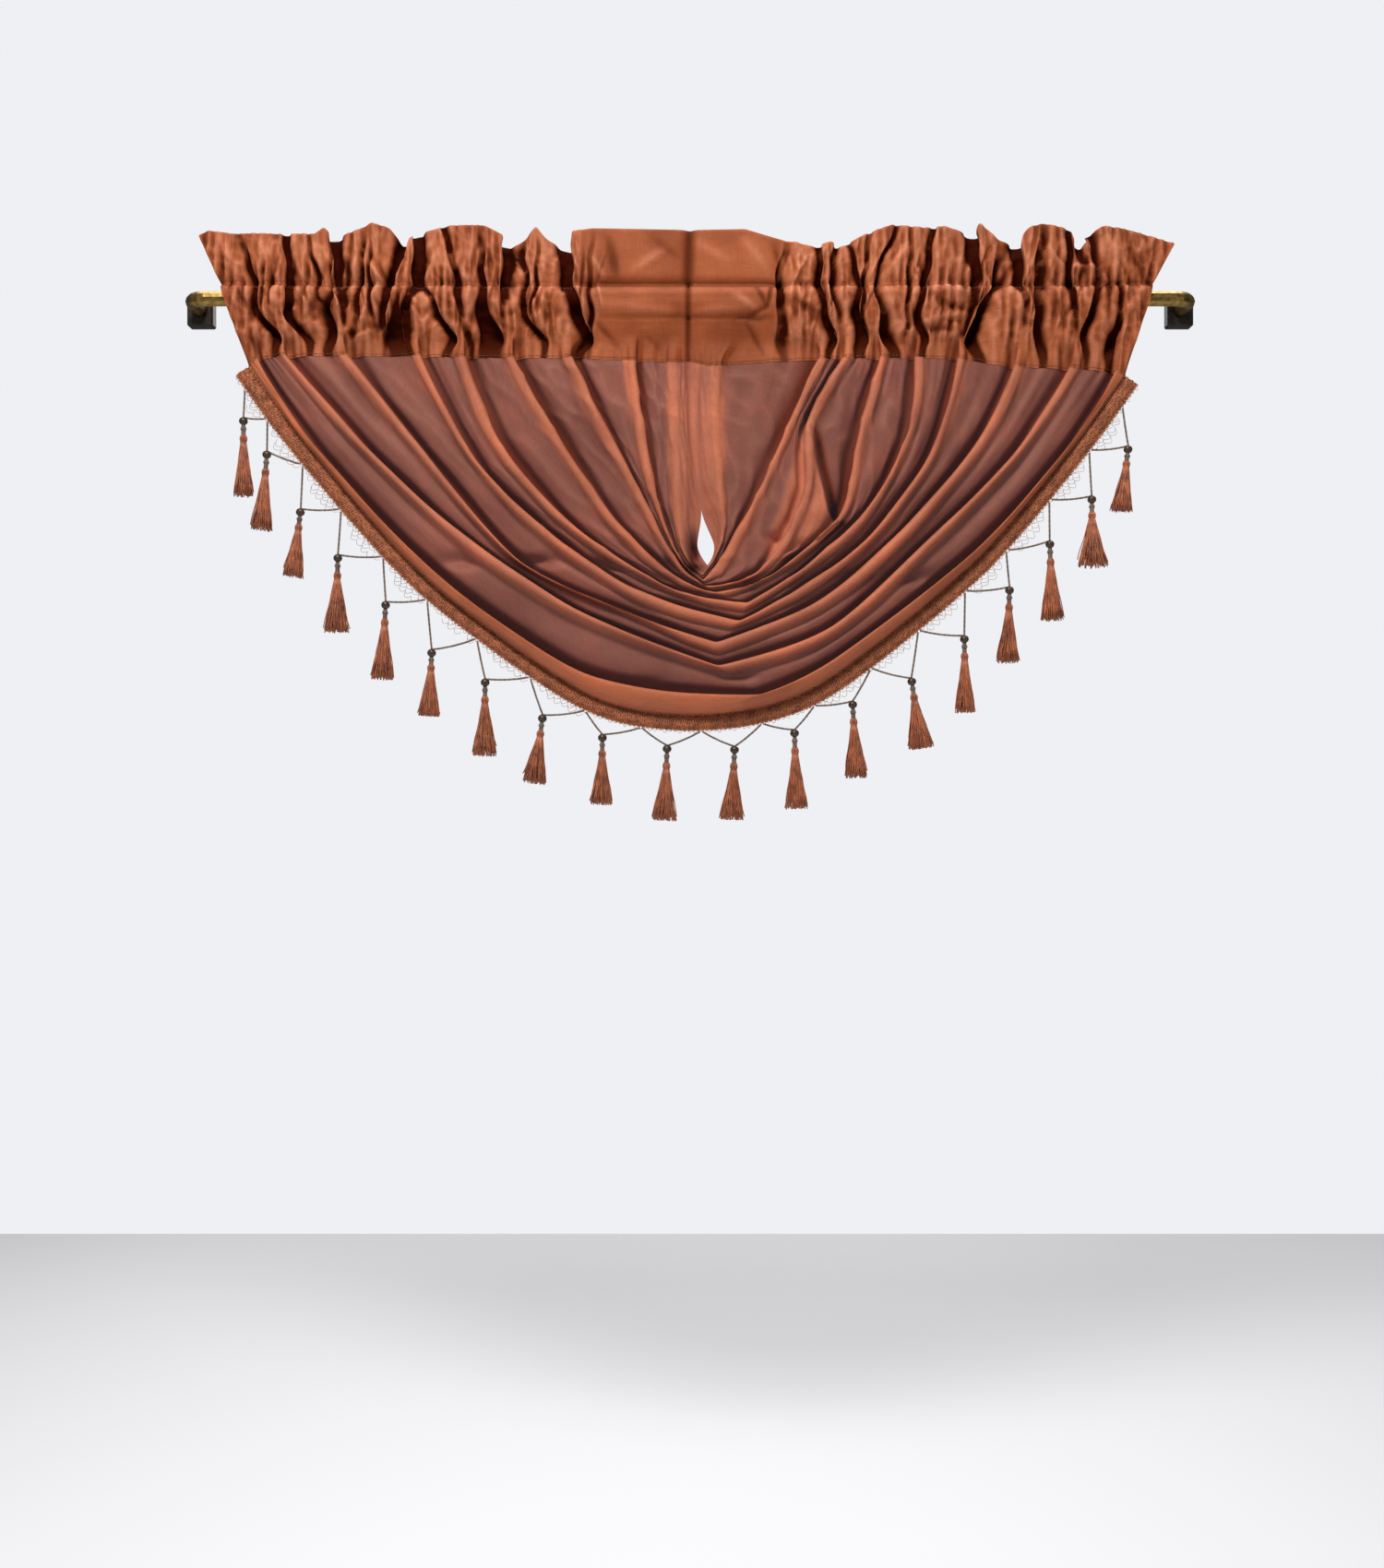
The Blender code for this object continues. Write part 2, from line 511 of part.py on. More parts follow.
    for h in range(across - 1):
        for v in range(foot, stitch):
            corners = [(h, v), (h + 1, v), (h + 1, v + 1), (h, v + 1)]
            outer = [head("f", *corner) for corner in corners]
            skins([[tunnel(side, *corner) for corner in corners] for side in "fb"], like=outer)
    for h in (0, across - 1):
        for v in range(len(HEADING_LEVELS)):
            if foot <= v < stitch:
                rim = [head("f", h, v), head("f", h, v + 1), tunnel("f", h, v + 1), tunnel("f", h, v)]
                other = [tunnel("b", h, v), tunnel("b", h, v + 1), head("b", h, v + 1), head("b", h, v)]
                faces += [rim, other]
            else:
                rim = [head("f", h, v), head("f", h, v + 1), head("b", h, v + 1), head("b", h, v)]
                if v + 1 == foot:
                    rim.insert(2, tunnel("f", h, foot))
                if v == stitch:
                    rim.append(tunnel("f", h, stitch))
                faces.append(rim)
    mesh = bpy.data.meshes.new("swag_cloth")
    mesh.from_pydata(points, [], faces)
    shaped = bmesh.new()
    shaped.from_mesh(mesh)
    bmesh.ops.recalc_face_normals(shaped, faces=shaped.faces)
    if shaped.calc_volume(signed=True) < 0:
        bmesh.ops.reverse_faces(shaped, faces=shaped.faces)
    shaped.to_mesh(mesh)
    shaped.free()
    mesh.shade_smooth()
    return mesh, sheet


# ----------------------------------------------------------------------------- scene helpers
def clear():
    for found in list(bpy.data.objects):
        bpy.data.objects.remove(found, do_unlink=True)


def collection(name, hidden=False):
    found = bpy.data.collections.new(name)
    bpy.context.scene.collection.children.link(found)
    found.hide_render = hidden
    return found


def material(name, colour, roughness, metallic=0.0):
    made = bpy.data.materials.new(name)
    made.use_nodes = True
    shader = made.node_tree.nodes["Principled BSDF"]
    shader.inputs["Base Color"].default_value = (*colour, 1)
    shader.inputs["Roughness"].default_value = roughness
    shader.inputs["Metallic"].default_value = metallic
    return made


def add(name, data, home, finish, parent=None):
    made = bpy.data.objects.new(name, data)
    home.objects.link(made)
    if finish is not None:
        data.materials.append(finish)
    made.parent = parent
    return made


def tube(name, places, radius, sides_step, home, finish):
    curve = bpy.data.curves.new(name, "CURVE")
    curve.dimensions = "3D"
    curve.bevel_depth = radius
    curve.bevel_resolution = sides_step
    curve.use_fill_caps = True
    spline = curve.splines.new("POLY")
    spline.points.add(len(places) - 1)
    for point, place in zip(spline.points, places):
        point.co = (*place, 1)
    spline.use_smooth = True
    return add(name, curve, home, finish)


def as_mesh(made, home):
    """The object remade as a welded mesh object of the same name."""
    graph = bpy.context.evaluated_depsgraph_get()
    graph.update()
    mesh = bpy.data.meshes.new_from_object(made.evaluated_get(graph))
    shaped = bmesh.new()
    shaped.from_mesh(mesh)
    bmesh.ops.remove_doubles(shaped, verts=shaped.verts, dist=1e-6)
    shaped.to_mesh(mesh)
    shaped.free()
    place, name, finish = made.matrix_world.copy(), made.name, made.data.materials[0] if made.data.materials else None
    bpy.data.objects.remove(made, do_unlink=True)
    new = bpy.data.objects.new(name, mesh)
    home.objects.link(new)
    new.matrix_world = place
    if finish is not None and not mesh.materials:
        mesh.materials.append(finish)
    return new


def build_braid(home, finish, sheet):
    """A flat oval band along the hem, just outside the cloth's edge."""
    edge = sheet[0]
    run = np.gradient(edge, axis=0)
    outward = np.stack([-run[:, 2], 0.10 * np.linalg.norm(run, axis=1), run[:, 0]], axis=-1)
    outward *= np.where(outward[:, 2:3] > 0, -1, 1) / np.linalg.norm(outward, axis=1, keepdims=True)
    face = np.cross(run, outward)
    face *= np.where(face[:, 1:2] > 0, -1, 1) / np.linalg.norm(face, axis=1, keepdims=True)
    start = SHEET / 2 + GAP + 0.0003
    # finer steps along the hem than the cloth has
    steps = np.linspace(0, 1, 2 * (len(edge) - 1) + 1)
    ring = [(0.0, 0.30), (0.28, 0.5), (0.72, 0.5), (1.0, 0.18), (1.0, -0.18), (0.72, -0.5), (0.28, -0.5), (0.0, -0.30)]
    sections = []
    for far, high in ring:
        place = edge + outward * (start + BRAID_WIDTH * far) + face * BRAID_THICK * high
        own = np.linspace(0, 1, len(edge))
        sections.append(np.stack([np.interp(steps, own, place[:, i]) for i in range(3)], axis=-1))
    sections = np.array(sections)
    shaped = bmesh.new()
    rings = [[shaped.verts.new(sections[i, c]) for i in range(len(ring))] for c in range(len(steps))]
    for a, b in zip(rings, rings[1:]):
        for i in range(len(ring)):
            j = (i + 1) % len(ring)
            shaped.faces.new((a[i], a[j], b[j], b[i]))
    shaped.faces.new(rings[0])
    shaped.faces.new(rings[-1][::-1])
    bmesh.ops.recalc_face_normals(shaped, faces=shaped.faces)
    mesh = bpy.data.meshes.new("hem_braid")
    shaped.to_mesh(mesh)
    shaped.free()
    mesh.shade_smooth()
    add("hem_braid", mesh, home, finish)
    rim = edge + outward * (start + BRAID_WIDTH + GAP + 0.0004)
    return rim


def build_tassel(number, row, start, end, home, helpers, finish):
    """Turned bead, neck and skirt, joined to the V of cord that it hangs on."""
    name = f"tassel_{number:02d}"
    y = (start[1] + end[1]) / 2
    bead = Vector((row["bead_x"] * GRID, y, -row["bead_d"] * GRID))
    foot = Vector((row["foot_x"] * GRID, y, -row["foot_d"] * GRID))
    drop = (foot - bead).length
    radius = row["skirt"] * GRID
    ball = BEAD_DIAMETER / 2
    section = [(0.0, ball * 0.98), (ball * 0.72, ball * 0.68), (ball, 0.0), (ball * 0.72, -ball * 0.68)]
    section += [(s["radius"] * radius, -s["drop"] * drop) for s in table(TASSEL_SECTION_COLUMNS, TASSEL_SECTION)[1:]]
    section.append((0.0, -drop))
    mesh = bpy.data.meshes.new(name)
    mesh.from_pydata([(x, 0, z) for x, z in section], [(i, i + 1) for i in range(len(section) - 1)], [])
    made = add(name, mesh, home, finish)
    turn = made.modifiers.new("turned", "SCREW")
    turn.steps = turn.render_steps = 8
    turn.use_merge_vertices = True
    turn.merge_threshold = 0.00005
    turn.use_normal_calculate = True
    # hung along the line from bead to foot
    lean = Vector((0, 0, -1)).rotation_difference(foot - bead)
    made.rotation_mode = "QUATERNION"
    made.rotation_quaternion = lean
    made.location = bead
    bpy.context.view_layer.update()
    made = as_mesh(made, home)
    # the cord: from the braid, down into the top of the bead, and back up to the braid
    top = bead + Vector((0, 0, ball * 0.55))
    path = []
    for tip in (start, end):
        tip = Vector(tip)
        arm = [tip.lerp(top, f) + Vector((0, 0, -0.10 * (tip - top).length * 4 * f * (1 - f))) for f in (0.0, 0.4, 0.75, 1.0)]
        path.append(arm)
    for i, arm in enumerate(path):
        arm[-1] = bead + Vector((0, 0, ball * 0.2))
        cord = tube(f"{name}_cord_{i}", arm, CORD_DIAMETER / 2, 0, helpers, None)
        cord = as_mesh(cord, helpers)
        cord.hide_render = True
        cord.display_type = "WIRE"
        join = made.modifiers.new(f"arm_{i}", "BOOLEAN")
        join.operation = "UNION"
        join.solver = "EXACT"
        join.object = cord
    return made


def build_rod(home, finish):
    places = []
    end = -(BRACKET_DEPTH - BRACKET_SOCKET) - GAP
    turn = [(1 - math.cos(a), math.sin(a)) for a in np.linspace(0, math.pi / 2, 6)]
    left = [(-ROD_HALF_SPAN, end, 0.0)]
    left += [(-ROD_HALF_SPAN + ROD_BEND * x, -ROD_REACH + ROD_BEND * (1 - y), 0.0) for x, y in turn]
    places = left + [(-x, y, z) for x, y, z in left[::-1]]
    rod = tube("rod", places, ROD_DIAMETER / 2, 4, home, finish)
    rod = as_mesh(rod, home)
    rod.data.shade_smooth()
    rod.data.set_sharp_from_angle(angle=math.radians(50))
    return rod


def build_bracket(name, x, home, cutters, finish):
    shaped = bmesh.new()
    bmesh.ops.create_cube(shaped, size=1)
    bmesh.ops.scale(shaped, verts=shaped.verts, vec=(BRACKET_WIDTH, BRACKET_DEPTH, BRACKET_TOP - BRACKET_BOTTOM))
    mesh = bpy.data.meshes.new(name)
    shaped.to_mesh(mesh)
    shaped.free()
    made = add(name, mesh, home, finish)
    made.location = (x, -BRACKET_DEPTH / 2, (BRACKET_TOP + BRACKET_BOTTOM) / 2)
    edges = made.modifiers.new("edges", "BEVEL")
    edges.width = 0.0015
    edges.segments = 1
    edges.limit_method = "ANGLE"
    shaped = bmesh.new()
    bmesh.ops.create_cone(shaped, cap_ends=True, segments=24, radius1=BRACKET_BORE / 2, radius2=BRACKET_BORE / 2, depth=0.02)
    mesh = bpy.data.meshes.new(name + "_bore")
    shaped.to_mesh(mesh)
    shaped.free()
    bore = add(name + "_bore", mesh, cutters, None)
    bore.rotation_euler = (math.pi / 2, 0, 0)
    bore.location = (x, -BRACKET_DEPTH + BRACKET_SOCKET - 0.01, 0)
    bore.hide_render = True
    bore.display_type = "WIRE"
    cut = made.modifiers.new("socket", "BOOLEAN")
    cut.operation = "DIFFERENCE"
    cut.solver = "EXACT"
    cut.object = bore
    return made


def main():
    clear()
    home = collection("swag_valance_on_rod")
    cutters = collection("cutters", hidden=True)
    cloth_finish = material("rust_taffeta", (0.42, 0.105, 0.045), 0.42)
    braid_finish = material("braid_yarn", (0.40, 0.13, 0.06), 0.85)
    tassel_finish = material("tassel_yarn", (0.44, 0.12, 0.06), 0.70)
    brass = material("aged_brass", (0.20, 0.12, 0.035), 0.35, 1.0)
    black = material("dark_bracket", (0.02, 0.014, 0.010), 0.50, 0.6)

    mesh, sheet = build_cloth_mesh()
    add("swag_cloth", mesh, home, cloth_finish)
    rim = build_braid(home, braid_finish, sheet)

    # cord points on the braid's outer rim, by x, a little apart for the two cords that share a place
    order = np.argsort(rim[:, 0])
    def on_rim(x):
        return np.array([np.interp(x, rim[order, 0], rim[order, i]) for i in range(3)])
    spread = 0.0016
    for i, row in enumerate(table(TASSEL_COLUMNS, TASSELS)):
        start = on_rim(ATTACH_X[i] * GRID + spread)
        end = on_rim(ATTACH_X[i + 1] * GRID - spread)
        build_tassel(i + 1, row, start, end, home, cutters, tassel_finish)

    build_rod(home, brass)
    build_bracket("bracket_left", -ROD_HALF_SPAN, home, cutters, black)
    build_bracket("bracket_right", ROD_HALF_SPAN, home, cutters, black)


main()
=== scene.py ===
import math

import bmesh
import bpy
import numpy as np
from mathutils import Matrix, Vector


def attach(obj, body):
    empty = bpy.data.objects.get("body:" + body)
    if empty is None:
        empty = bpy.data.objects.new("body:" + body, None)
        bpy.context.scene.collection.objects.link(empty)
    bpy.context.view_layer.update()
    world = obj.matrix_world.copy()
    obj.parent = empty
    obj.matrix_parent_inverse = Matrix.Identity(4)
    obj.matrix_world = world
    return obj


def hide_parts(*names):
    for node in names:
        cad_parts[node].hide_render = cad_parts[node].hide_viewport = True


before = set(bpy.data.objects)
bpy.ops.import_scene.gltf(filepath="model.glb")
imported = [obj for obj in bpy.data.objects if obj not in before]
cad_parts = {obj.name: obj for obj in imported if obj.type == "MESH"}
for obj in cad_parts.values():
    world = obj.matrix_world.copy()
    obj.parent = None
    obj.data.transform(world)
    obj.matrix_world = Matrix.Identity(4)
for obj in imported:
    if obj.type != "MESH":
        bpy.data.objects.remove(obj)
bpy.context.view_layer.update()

# Swag valance on its rod. Lengths in metres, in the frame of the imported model: x along the rod, y into the
# wall, z up. The cloth's fold tables are laid out on a front-view grid: x right of the centre seam, d down
# from the rod's axis.
GRID = 0.0009
ROD_REACH = 0.052
STITCH_Z = 0.0130
TOP_SPREAD = 1.112
STITCH_SPREAD = 1.062
RIDGE = 0.0095
TENSION = 0.8
SLIT_STATION = 0.5
BRAID_WIDTH = 0.0150
BEAD_DIAMETER = 0.0085

STATIONS = ("head", "high", "mid", "low", "vee")
LINE_COLUMNS = ("name", "head_x", "head_d", "high_x", "high_d", "mid_x", "mid_d", "low_x", "low_d", "vee_x", "vee_d")
LEFT_LINES = [
    ("hem",     -481, 74, -410, 169, -280, 312, -105, 435, 27, 454),
    ("roll",    -470, 66, -403, 166, -271, 303, -108, 412, 76, 433),
    ("fold_2",  -437, 63, -349, 164, -240, 263, -123, 340, 29, 402),
    ("fold_3",  -372, 63, -296, 157, -182, 290, -60, 346, 29, 376),
    ("fold_4",  -291, 63, -228, 182, -150, 256, -60, 318, 54, 353),
    ("fold_5",  -243, 65, -201, 162, -123, 251, -20, 317, 62, 333),
    ("fold_6",  -191, 65, -148, 140, -78, 245, -14, 305, 27, 322),
    ("fold_7",  -126, 65, -98, 125, -56, 206, -18, 282, 16, 315),
    ("fold_8",  -58, 68, -50, 130, -36, 215, -12, 281, 14, 308),
    ("fold_9",  -13, 70, -11, 130, -10, 200, -7, 272, 13, 301),
    ("seam",    1, 68, 2, 150, 12, 231, 8, 270, 19, 292),
]
RIGHT_LINES = [
    ("hem",     474, 84, 406, 175, 301, 295, 140, 422, 27, 454),
    ("roll",    463, 80, 400, 175, 308, 276, 160, 391, 76, 433),
    ("fold_2",  412, 77, 346, 175, 250, 272, 148, 360, 29, 402),
    ("fold_3",  352, 75, 308, 160, 226, 257, 138, 330, 29, 376),
    ("fold_4",  289, 66, 256, 175, 190, 264, 118, 317, 54, 353),
    ("fold_5",  243, 65, 234, 145, 190, 232, 122, 294, 62, 333),
    ("fold_6",  204, 65, 180, 150, 158, 240, 88, 302, 27, 322),
    ("fold_7",  164, 66, 124, 140, 120, 215, 76, 296, 16, 315),
    ("fold_8",  139, 66, 102, 145, 66, 224, 36, 278, 14, 308),
    ("fold_9",  20, 74, 21, 130, 27, 200, 34, 262, 13, 301),
    ("seam",    1, 68, 2, 150, 12, 231, 26, 270, 19, 292),
]
BODY_COLUMNS = ("name", "front_head", "front_mid", "front_vee", "deep_head", "deep_mid", "deep_vee", "tuck")
BODY = [
    ("hem",     3, 12, 14, 0, 0, 0, 0),
    ("roll",    9, 26, 34, 15, 27, 26, 10),
    ("fold_2", 10, 23, 29, 15, 25, 21, 9),
    ("fold_3", 10, 21, 25, 15, 24, 18, 9),
    ("fold_4", 10, 19, 22, 15, 22, 16, 8),
    ("fold_5", 10, 18, 19, 15, 20, 14, 8),
    ("fold_6", 10, 16, 17, 15, 19, 12, 7),
    ("fold_7", 10, 15, 15, 14, 17, 10, 6),
    ("fold_8",  8, 13, 12, 10, 13, 8, 4),
    ("fold_9",  8, 10, 10, 7, 9, 6, 3),
    ("seam",    2, 2, 6, 0, 0, 0, 0),
]
# crest and hollow: a painted highlight along each ridge, partly the doubled cloth, and a painted shade in the gap
# tucked behind it
SECTION_COLUMNS = ("step", "across", "ridge", "tuck", "depth", "crest", "hollow")
SECTION = [
    (0.00, 0.00, 0.00, 0.00, 0.00, 1.0, 0.0),
    (0.06, 0.00, 0.42, 0.00, -0.10, 1.0, 0.0),
    (0.14, 0.00, 0.90, 0.00, -0.04, 1.0, 0.0),
    (0.22, 0.00, 1.18, 0.00, 0.16, 0.8, 0.0),
    (0.31, 0.08, 1.15, 0.00, 0.33, 0.3, 0.2),
    (0.48, 0.45, 0.45, 0.00, 0.34, 0.0, 0.0),
    (0.66, 0.76, 0.05, 0.00, 0.42, 0.0, 0.0),
    (0.75, 0.86, 0.00, 0.00, 0.54, 0.0, 0.2),
    (0.83, 0.93, 0.00, 0.00, 0.94, 0.0, 0.9),
    (0.89, 1.00, 0.00, 0.40, 1.00, 0.0, 1.0),
    (0.94, 1.00, 0.00, 0.70, 0.62, 0.0, 1.0),
    (0.975, 1.00, 0.00, 0.25, 0.20, 0.4, 0.5),
    (1.00, 1.00, 0.00, 0.00, 0.00, 1.0, 0.0),
]

# Smaller folds that start at the gathers and die away along the cloth: where across (0 hem, then a whole
# number a fold line), half width, height in mm (negative is a hollow), and how far along they reach.
MINOR_COLUMNS = ("side", "at", "half", "high", "reach")
MINOR = [
    ("left", 1.55, 0.10, 2.4, 0.75), ("left", 2.42, 0.10, 2.2, 0.45), ("left", 2.70, 0.07, 1.6, 0.30),
    ("left", 3.38, 0.09, 2.6, 0.40), ("left", 3.62, 0.07, -2.0, 0.35), ("left", 4.50, 0.10, 2.0, 0.50),
    ("left", 5.45, 0.10, 2.2, 0.45), ("left", 6.35, 0.08, 2.4, 0.55), ("left", 6.60, 0.07, -2.2, 0.50),
    ("left", 7.30, 0.08, 2.0, 0.40), ("left", 7.62, 0.07, 1.8, 0.60), ("left", 8.40, 0.12, 1.6, 0.70),
    ("right", 1.50, 0.10, 2.4, 0.70), ("right", 1.75, 0.07, -1.8, 0.55), ("right", 2.45, 0.10, 2.4, 0.55),
    ("right", 3.40, 0.10, 2.2, 0.50), ("right", 3.66, 0.06, 1.8, 0.35), ("right", 4.50, 0.12, 2.4, 0.45),
    ("right", 5.50, 0.12, 2.0, 0.40), ("right", 6.45, 0.12, 2.2, 0.60), ("right", 7.45, 0.14, 2.0, 0.55),
    ("right", 8.22, 0.05, 2.6, 0.35), ("right", 8.40, 0.05, -2.0, 0.30), ("right", 8.62, 0.05, 2.2, 0.28),
    ("right", 8.80, 0.04, 2.0, 0.40),
]

GATHER_COLUMNS = ("top_x", "stitch_x", "mid_x", "low_x", "top_half", "low_half",
                  "top_deep", "stitch_deep", "mid_deep", "low_deep", "lean")
GATHERS = [
    (-493, -477, -473, -451, 5, 6, 1, 6, 6, 10, 0.3),
    (-438, -432, -432, -414, 6, 6, 4, 6, 8, 6, -0.4),
    (-418, -405, -404, -404, 3, 3, 1, 4, 1, 0, 0.0),
    (-392, -392, -400, -394, 5, 7, 0, 5, 12, 9, 0.5),
    (-381, -380, -372, -370, 9, 5, 13, 8, 3, 1, -0.4),
    (-356, -361, -364, -364, 4, 4, 1, 6, 3, 0, 0.3),
    (-348, -350, -346, -343, 3, 3, 0, 5, 3, 0, 0.0),
    (-318, -331, -337, -333, 7, 5, 11, 8, 5, 2, 0.4),
    (-316, -320, -318, -319, 5, 13, 0, 1, 5, 14, -0.2),
    (-290, -295, -306, -304, 8, 5, 12, 6, 5, 6, -0.4),
    (-286, -290, -280, -264, 4, 6, 0, 2, 8, 9, 0.5),
    (-268, -251, -248, -240, 5, 5, 3, 6, 3, 3, -0.3),
    (-228, -228, -228, -218, 5, 14, 0, 6, 9, 14, 0.2),
    (-192, -196, -201, -203, 7, 4, 11, 8, 2, 0, -0.5),
    (-183, -182, -185, -160, 4, 5, 2, 6, 6, 5, 0.4),
    (-166, -168, -172, -172, 3, 3, 0, 5, 3, 0, 0.0),
    (-146, -140, -130, -120, 10, 7, 13, 8, 10, 14, 0.5),
    (-106, -110, -108, -112, 3, 4, 0, 4, 6, 3, 0.0),
    (107, 100, 102, 102, 5, 8, 1, 9, 4, 5, -0.3),
    (138, 136, 143, 151, 5, 5, 5, 8, 5, 10, 0.4),
    (161, 157, 162, 164, 4, 4, 4, 8, 3, 0, -0.3),
    (170, 180, 176, 184, 4, 8, 3, 6, 9, 11, 0.4),
    (195, 189, 187, 187, 4, 3, 3, 5, 4, 0, 0.0),
    (228, 207, 214, 222, 4, 8, 2, 8, 6, 13, -0.5),
    (242, 238, 236, 236, 3, 3, 2, 5, 4, 0, 0.0),
    (262, 253, 245, 252, 5, 5, 5, 6, 6, 8, 0.3),
    (299, 308, 302, 298, 9, 4, 13, 6, 6, 2, 0.4),
    (340, 336, 322, 314, 5, 9, 0, 7, 12, 14, -0.5),
    (350, 355, 364, 364, 8, 4, 13, 6, 2, 0, 0.4),
    (388, 383, 382, 385, 7, 6, 3, 5, 7, 9, -0.4),
    (412, 410, 417, 417, 5, 5, 5, 9, 4, 0, 0.3),
    (425, 430, 428, 428, 6, 4, 6, 3, 0, 0, 0.0),
    (440, 448, 439, 432, 5, 5, 8, 4, 8, 6, -0.3),
    (470, 468, 465, 455, 4, 6, 0, 1, 3, 11, 0.4),
]
TOP_COLUMNS = ("x", "top")
TOP_EDGE = [
    (-536, 66), (-526, 72), (-500, 69), (-408, 69), (-400, 77), (-384, 67), (-360, 75), (-347, 81),
    (-328, 76), (-322, 60), (-294, 71), (-266, 78), (-225, 78), (-203, 68), (-188, 56), (-168, 78),
    (-158, 62), (-143, 53), (-136, 72), (-108, 76), (0, 74), (60, 75), (90, 66), (132, 55),
    (155, 61), (162, 54), (190, 68), (220, 79), (252, 76), (277, 78), (305, 70), (315, 82),
    (337, 62), (349, 59), (370, 77), (387, 81), (412, 75), (425, 54), (449, 78), (472, 74), (527, 58),
]
# Creases of the heading: from x, d to x, d on the grid, half width in grid units, height in mm.
CREASE_COLUMNS = ("x1", "d1", "x2", "d2", "half", "high")
CREASES = [
    (-415, -48, -403, -22, 3, -1.6), (-453, -18, -468, 12, 4, -1.8), (-443, -14, -460, 22, 5, 1.6),
    (-462, 30, -450, 42, 3, -1.6), (-376, -20, -365, 15, 3, -2.2), (-360, -26, -362, -2, 3, -1.8),
    (-372, 42, -338, 30, 4, -2.2), (-374, 54, -346, 34, 5, 2.0), (-343, 5, -333, 26, 3, -2.0),
    (-510, -60, -494, -26, 6, 1.6), (-470, -62, -462, -40, 6, 1.4), (-440, -66, -436, -30, 5, -1.0),
    (-252, -30, -253, 0, 3, -2.0), (-228, -26, -228, -6, 3, -2.0), (-208, 22, -176, 14, 4, -1.6),
    (-192, 18, -158, 52, 4, -2.2), (-240, -44, -210, -60, 5, 1.0), (-232, -30, -214, -42, 4, -1.2),
    (-103, 28, -80, 52, 4, -1.2), (-48, 42, -32, 58, 3, -0.8), (-88, -62, -80, -22, 6, -1.4),
    (-108, -46, -94, -22, 4, 1.4), (-60, -30, -28, -52, 6, 1.1), (-40, -64, -14, -44, 5, -0.9),
    (-100, 10, -20, 16, 5, 0.8), (10, 16, 60, 12, 5, 0.8), (-98, 22, 92, 23, 2.5, -0.9),
    (72, -10, 84, 12, 3, -1.8), (84, 12, 64, 22, 3, -1.6), (52, 22, 78, 26, 3, -1.2), (62, 30, 80, 62, 3, -1.4),
    (50, 0, 74, 16, 5, 1.4), (112, 5, 137, 20, 4, -2.2), (122, 10, 146, 34, 4, -1.8), (60, -62, 84, -30, 7, 1.2),
    (10, -58, 40, -40, 7, 0.9), (92, -56, 100, -34, 5, -1.2), (118, -52, 118, -20, 7, 1.2),
    (262, -2, 276, 12, 4, -2.6), (276, 12, 304, 16, 4, -2.6), (272, -14, 300, 2, 7, 2.4), (272, 26, 294, 28, 3, -1.8),
    (252, 36, 284, 36, 4, -1.8), (250, 30, 290, 22, 5, 1.8), (322, -30, 330, -18, 3, -2.0),
    (364, -16, 378, 4, 4, -2.4), (378, 4, 370, 20, 4, -2.0), (357, 24, 374, 34, 4, -2.0), (380, -10, 383, 16, 4, 2.0),
    (402, 4, 392, 34, 4, -1.6), (424, 0, 434, 25, 3, -1.8), (442, -20, 447, 6, 3, -1.8), (414, -34, 446, -34, 4, 2.0),
    (232, -66, 211, -26, 3, -2.0), (220, -30, 236, -54, 5, 2.0), (262, -50, 252, -30, 4, -2.0),
    (455, -64, 470, -30, 7, 1.6), (490, -50, 506, -62, 6, 1.2), (470, 20, 486, 2, 7, 1.6), (456, 8, 474, 6, 4, -1.4),
]

# Hollows pressed into the swag where a fold breaks: place on the grid, half size, depth in mm, and over: how far the
# dent reaches over a crest and how much painted shade it lays in.
DENT_COLUMNS = ("x", "d", "half_x", "half_d", "deep", "over")
DENTS = [
    (-163, 288, 20, 7, 9, 0.0), (-250, 288, 20, 8, 7, 0.0), (-93, 292, 22, 7, 9, 0.0), (177, 302, 18, 7, 10, 0.0),
    (242, 305, 20, 8, 8, 0.0), (118, 272, 14, 7, 8, 0.0), (-20, 290, 10, 7, 6, 0.0), (60, 312, 12, 7, 6, 0.0),
    (54, 414, 16, 5, 6, 0.0), (150, 268, 10, 6, 6, 0.0), (4, 276, 5, 17, 8, 1.0), (7, 296, 9, 5, 5, 0.8), (-45, 418, 16, 5, 3, 0.0),
    (-24, 250, 6, 12, 4, 0.0), (92, 262, 10, 6, 6, 0.0),
]

# The flat facet of cloth that stands out on the right, above the middle: its lip, from the top down.
FACET_COLUMNS = ("d", "left", "lip", "high")
FACET = [
    (120, 116, 118, 0), (148, 114, 130, 4), (184, 106, 137, 8), (215, 98, 145, 10), (235, 92, 149, 11),
    (248, 86, 158, 9), (262, 82, 140, 7), (285, 76, 100, 4), (310, 68, 80, 0),
]

TASSEL_COLUMNS = ("bead_x", "bead_d", "foot_x", "foot_d", "skirt")
TASSELS = [
    (-486, 135, -486, 215, 22), (-460, 172, -466, 252, 24), (-423, 235, -431, 304, 23),
    (-382, 285, -384, 364, 29), (-330, 336, -334, 415, 26), (-280, 388, -283, 455, 25),
    (-222, 420, -223, 498, 27), (-160, 459, -169, 528, 27), (-95, 480, -96, 551, 26),
    (-25, 492, -28, 568, 28), (48, 493, 45, 567, 28), (113, 475, 115, 555, 26),
    (176, 444, 180, 522, 26), (240, 419, 250, 490, 29), (297, 373, 298, 451, 23),
    (346, 320, 344, 397, 25), (390, 270, 393, 351, 25), (436, 221, 437, 293, 34),
    (476, 166, 469, 232, 24),
]
ATTACH_X = (-486, -461, -422, -380, -334, -286, -232, -174, -114, -53, 12, 78, 135, 196, 248, 299, 344, 391, 435, 472)


# ----------------------------------------------------------------------------- curves and tables
def table(columns, rows):
    return [dict(zip(columns, row)) for row in rows]


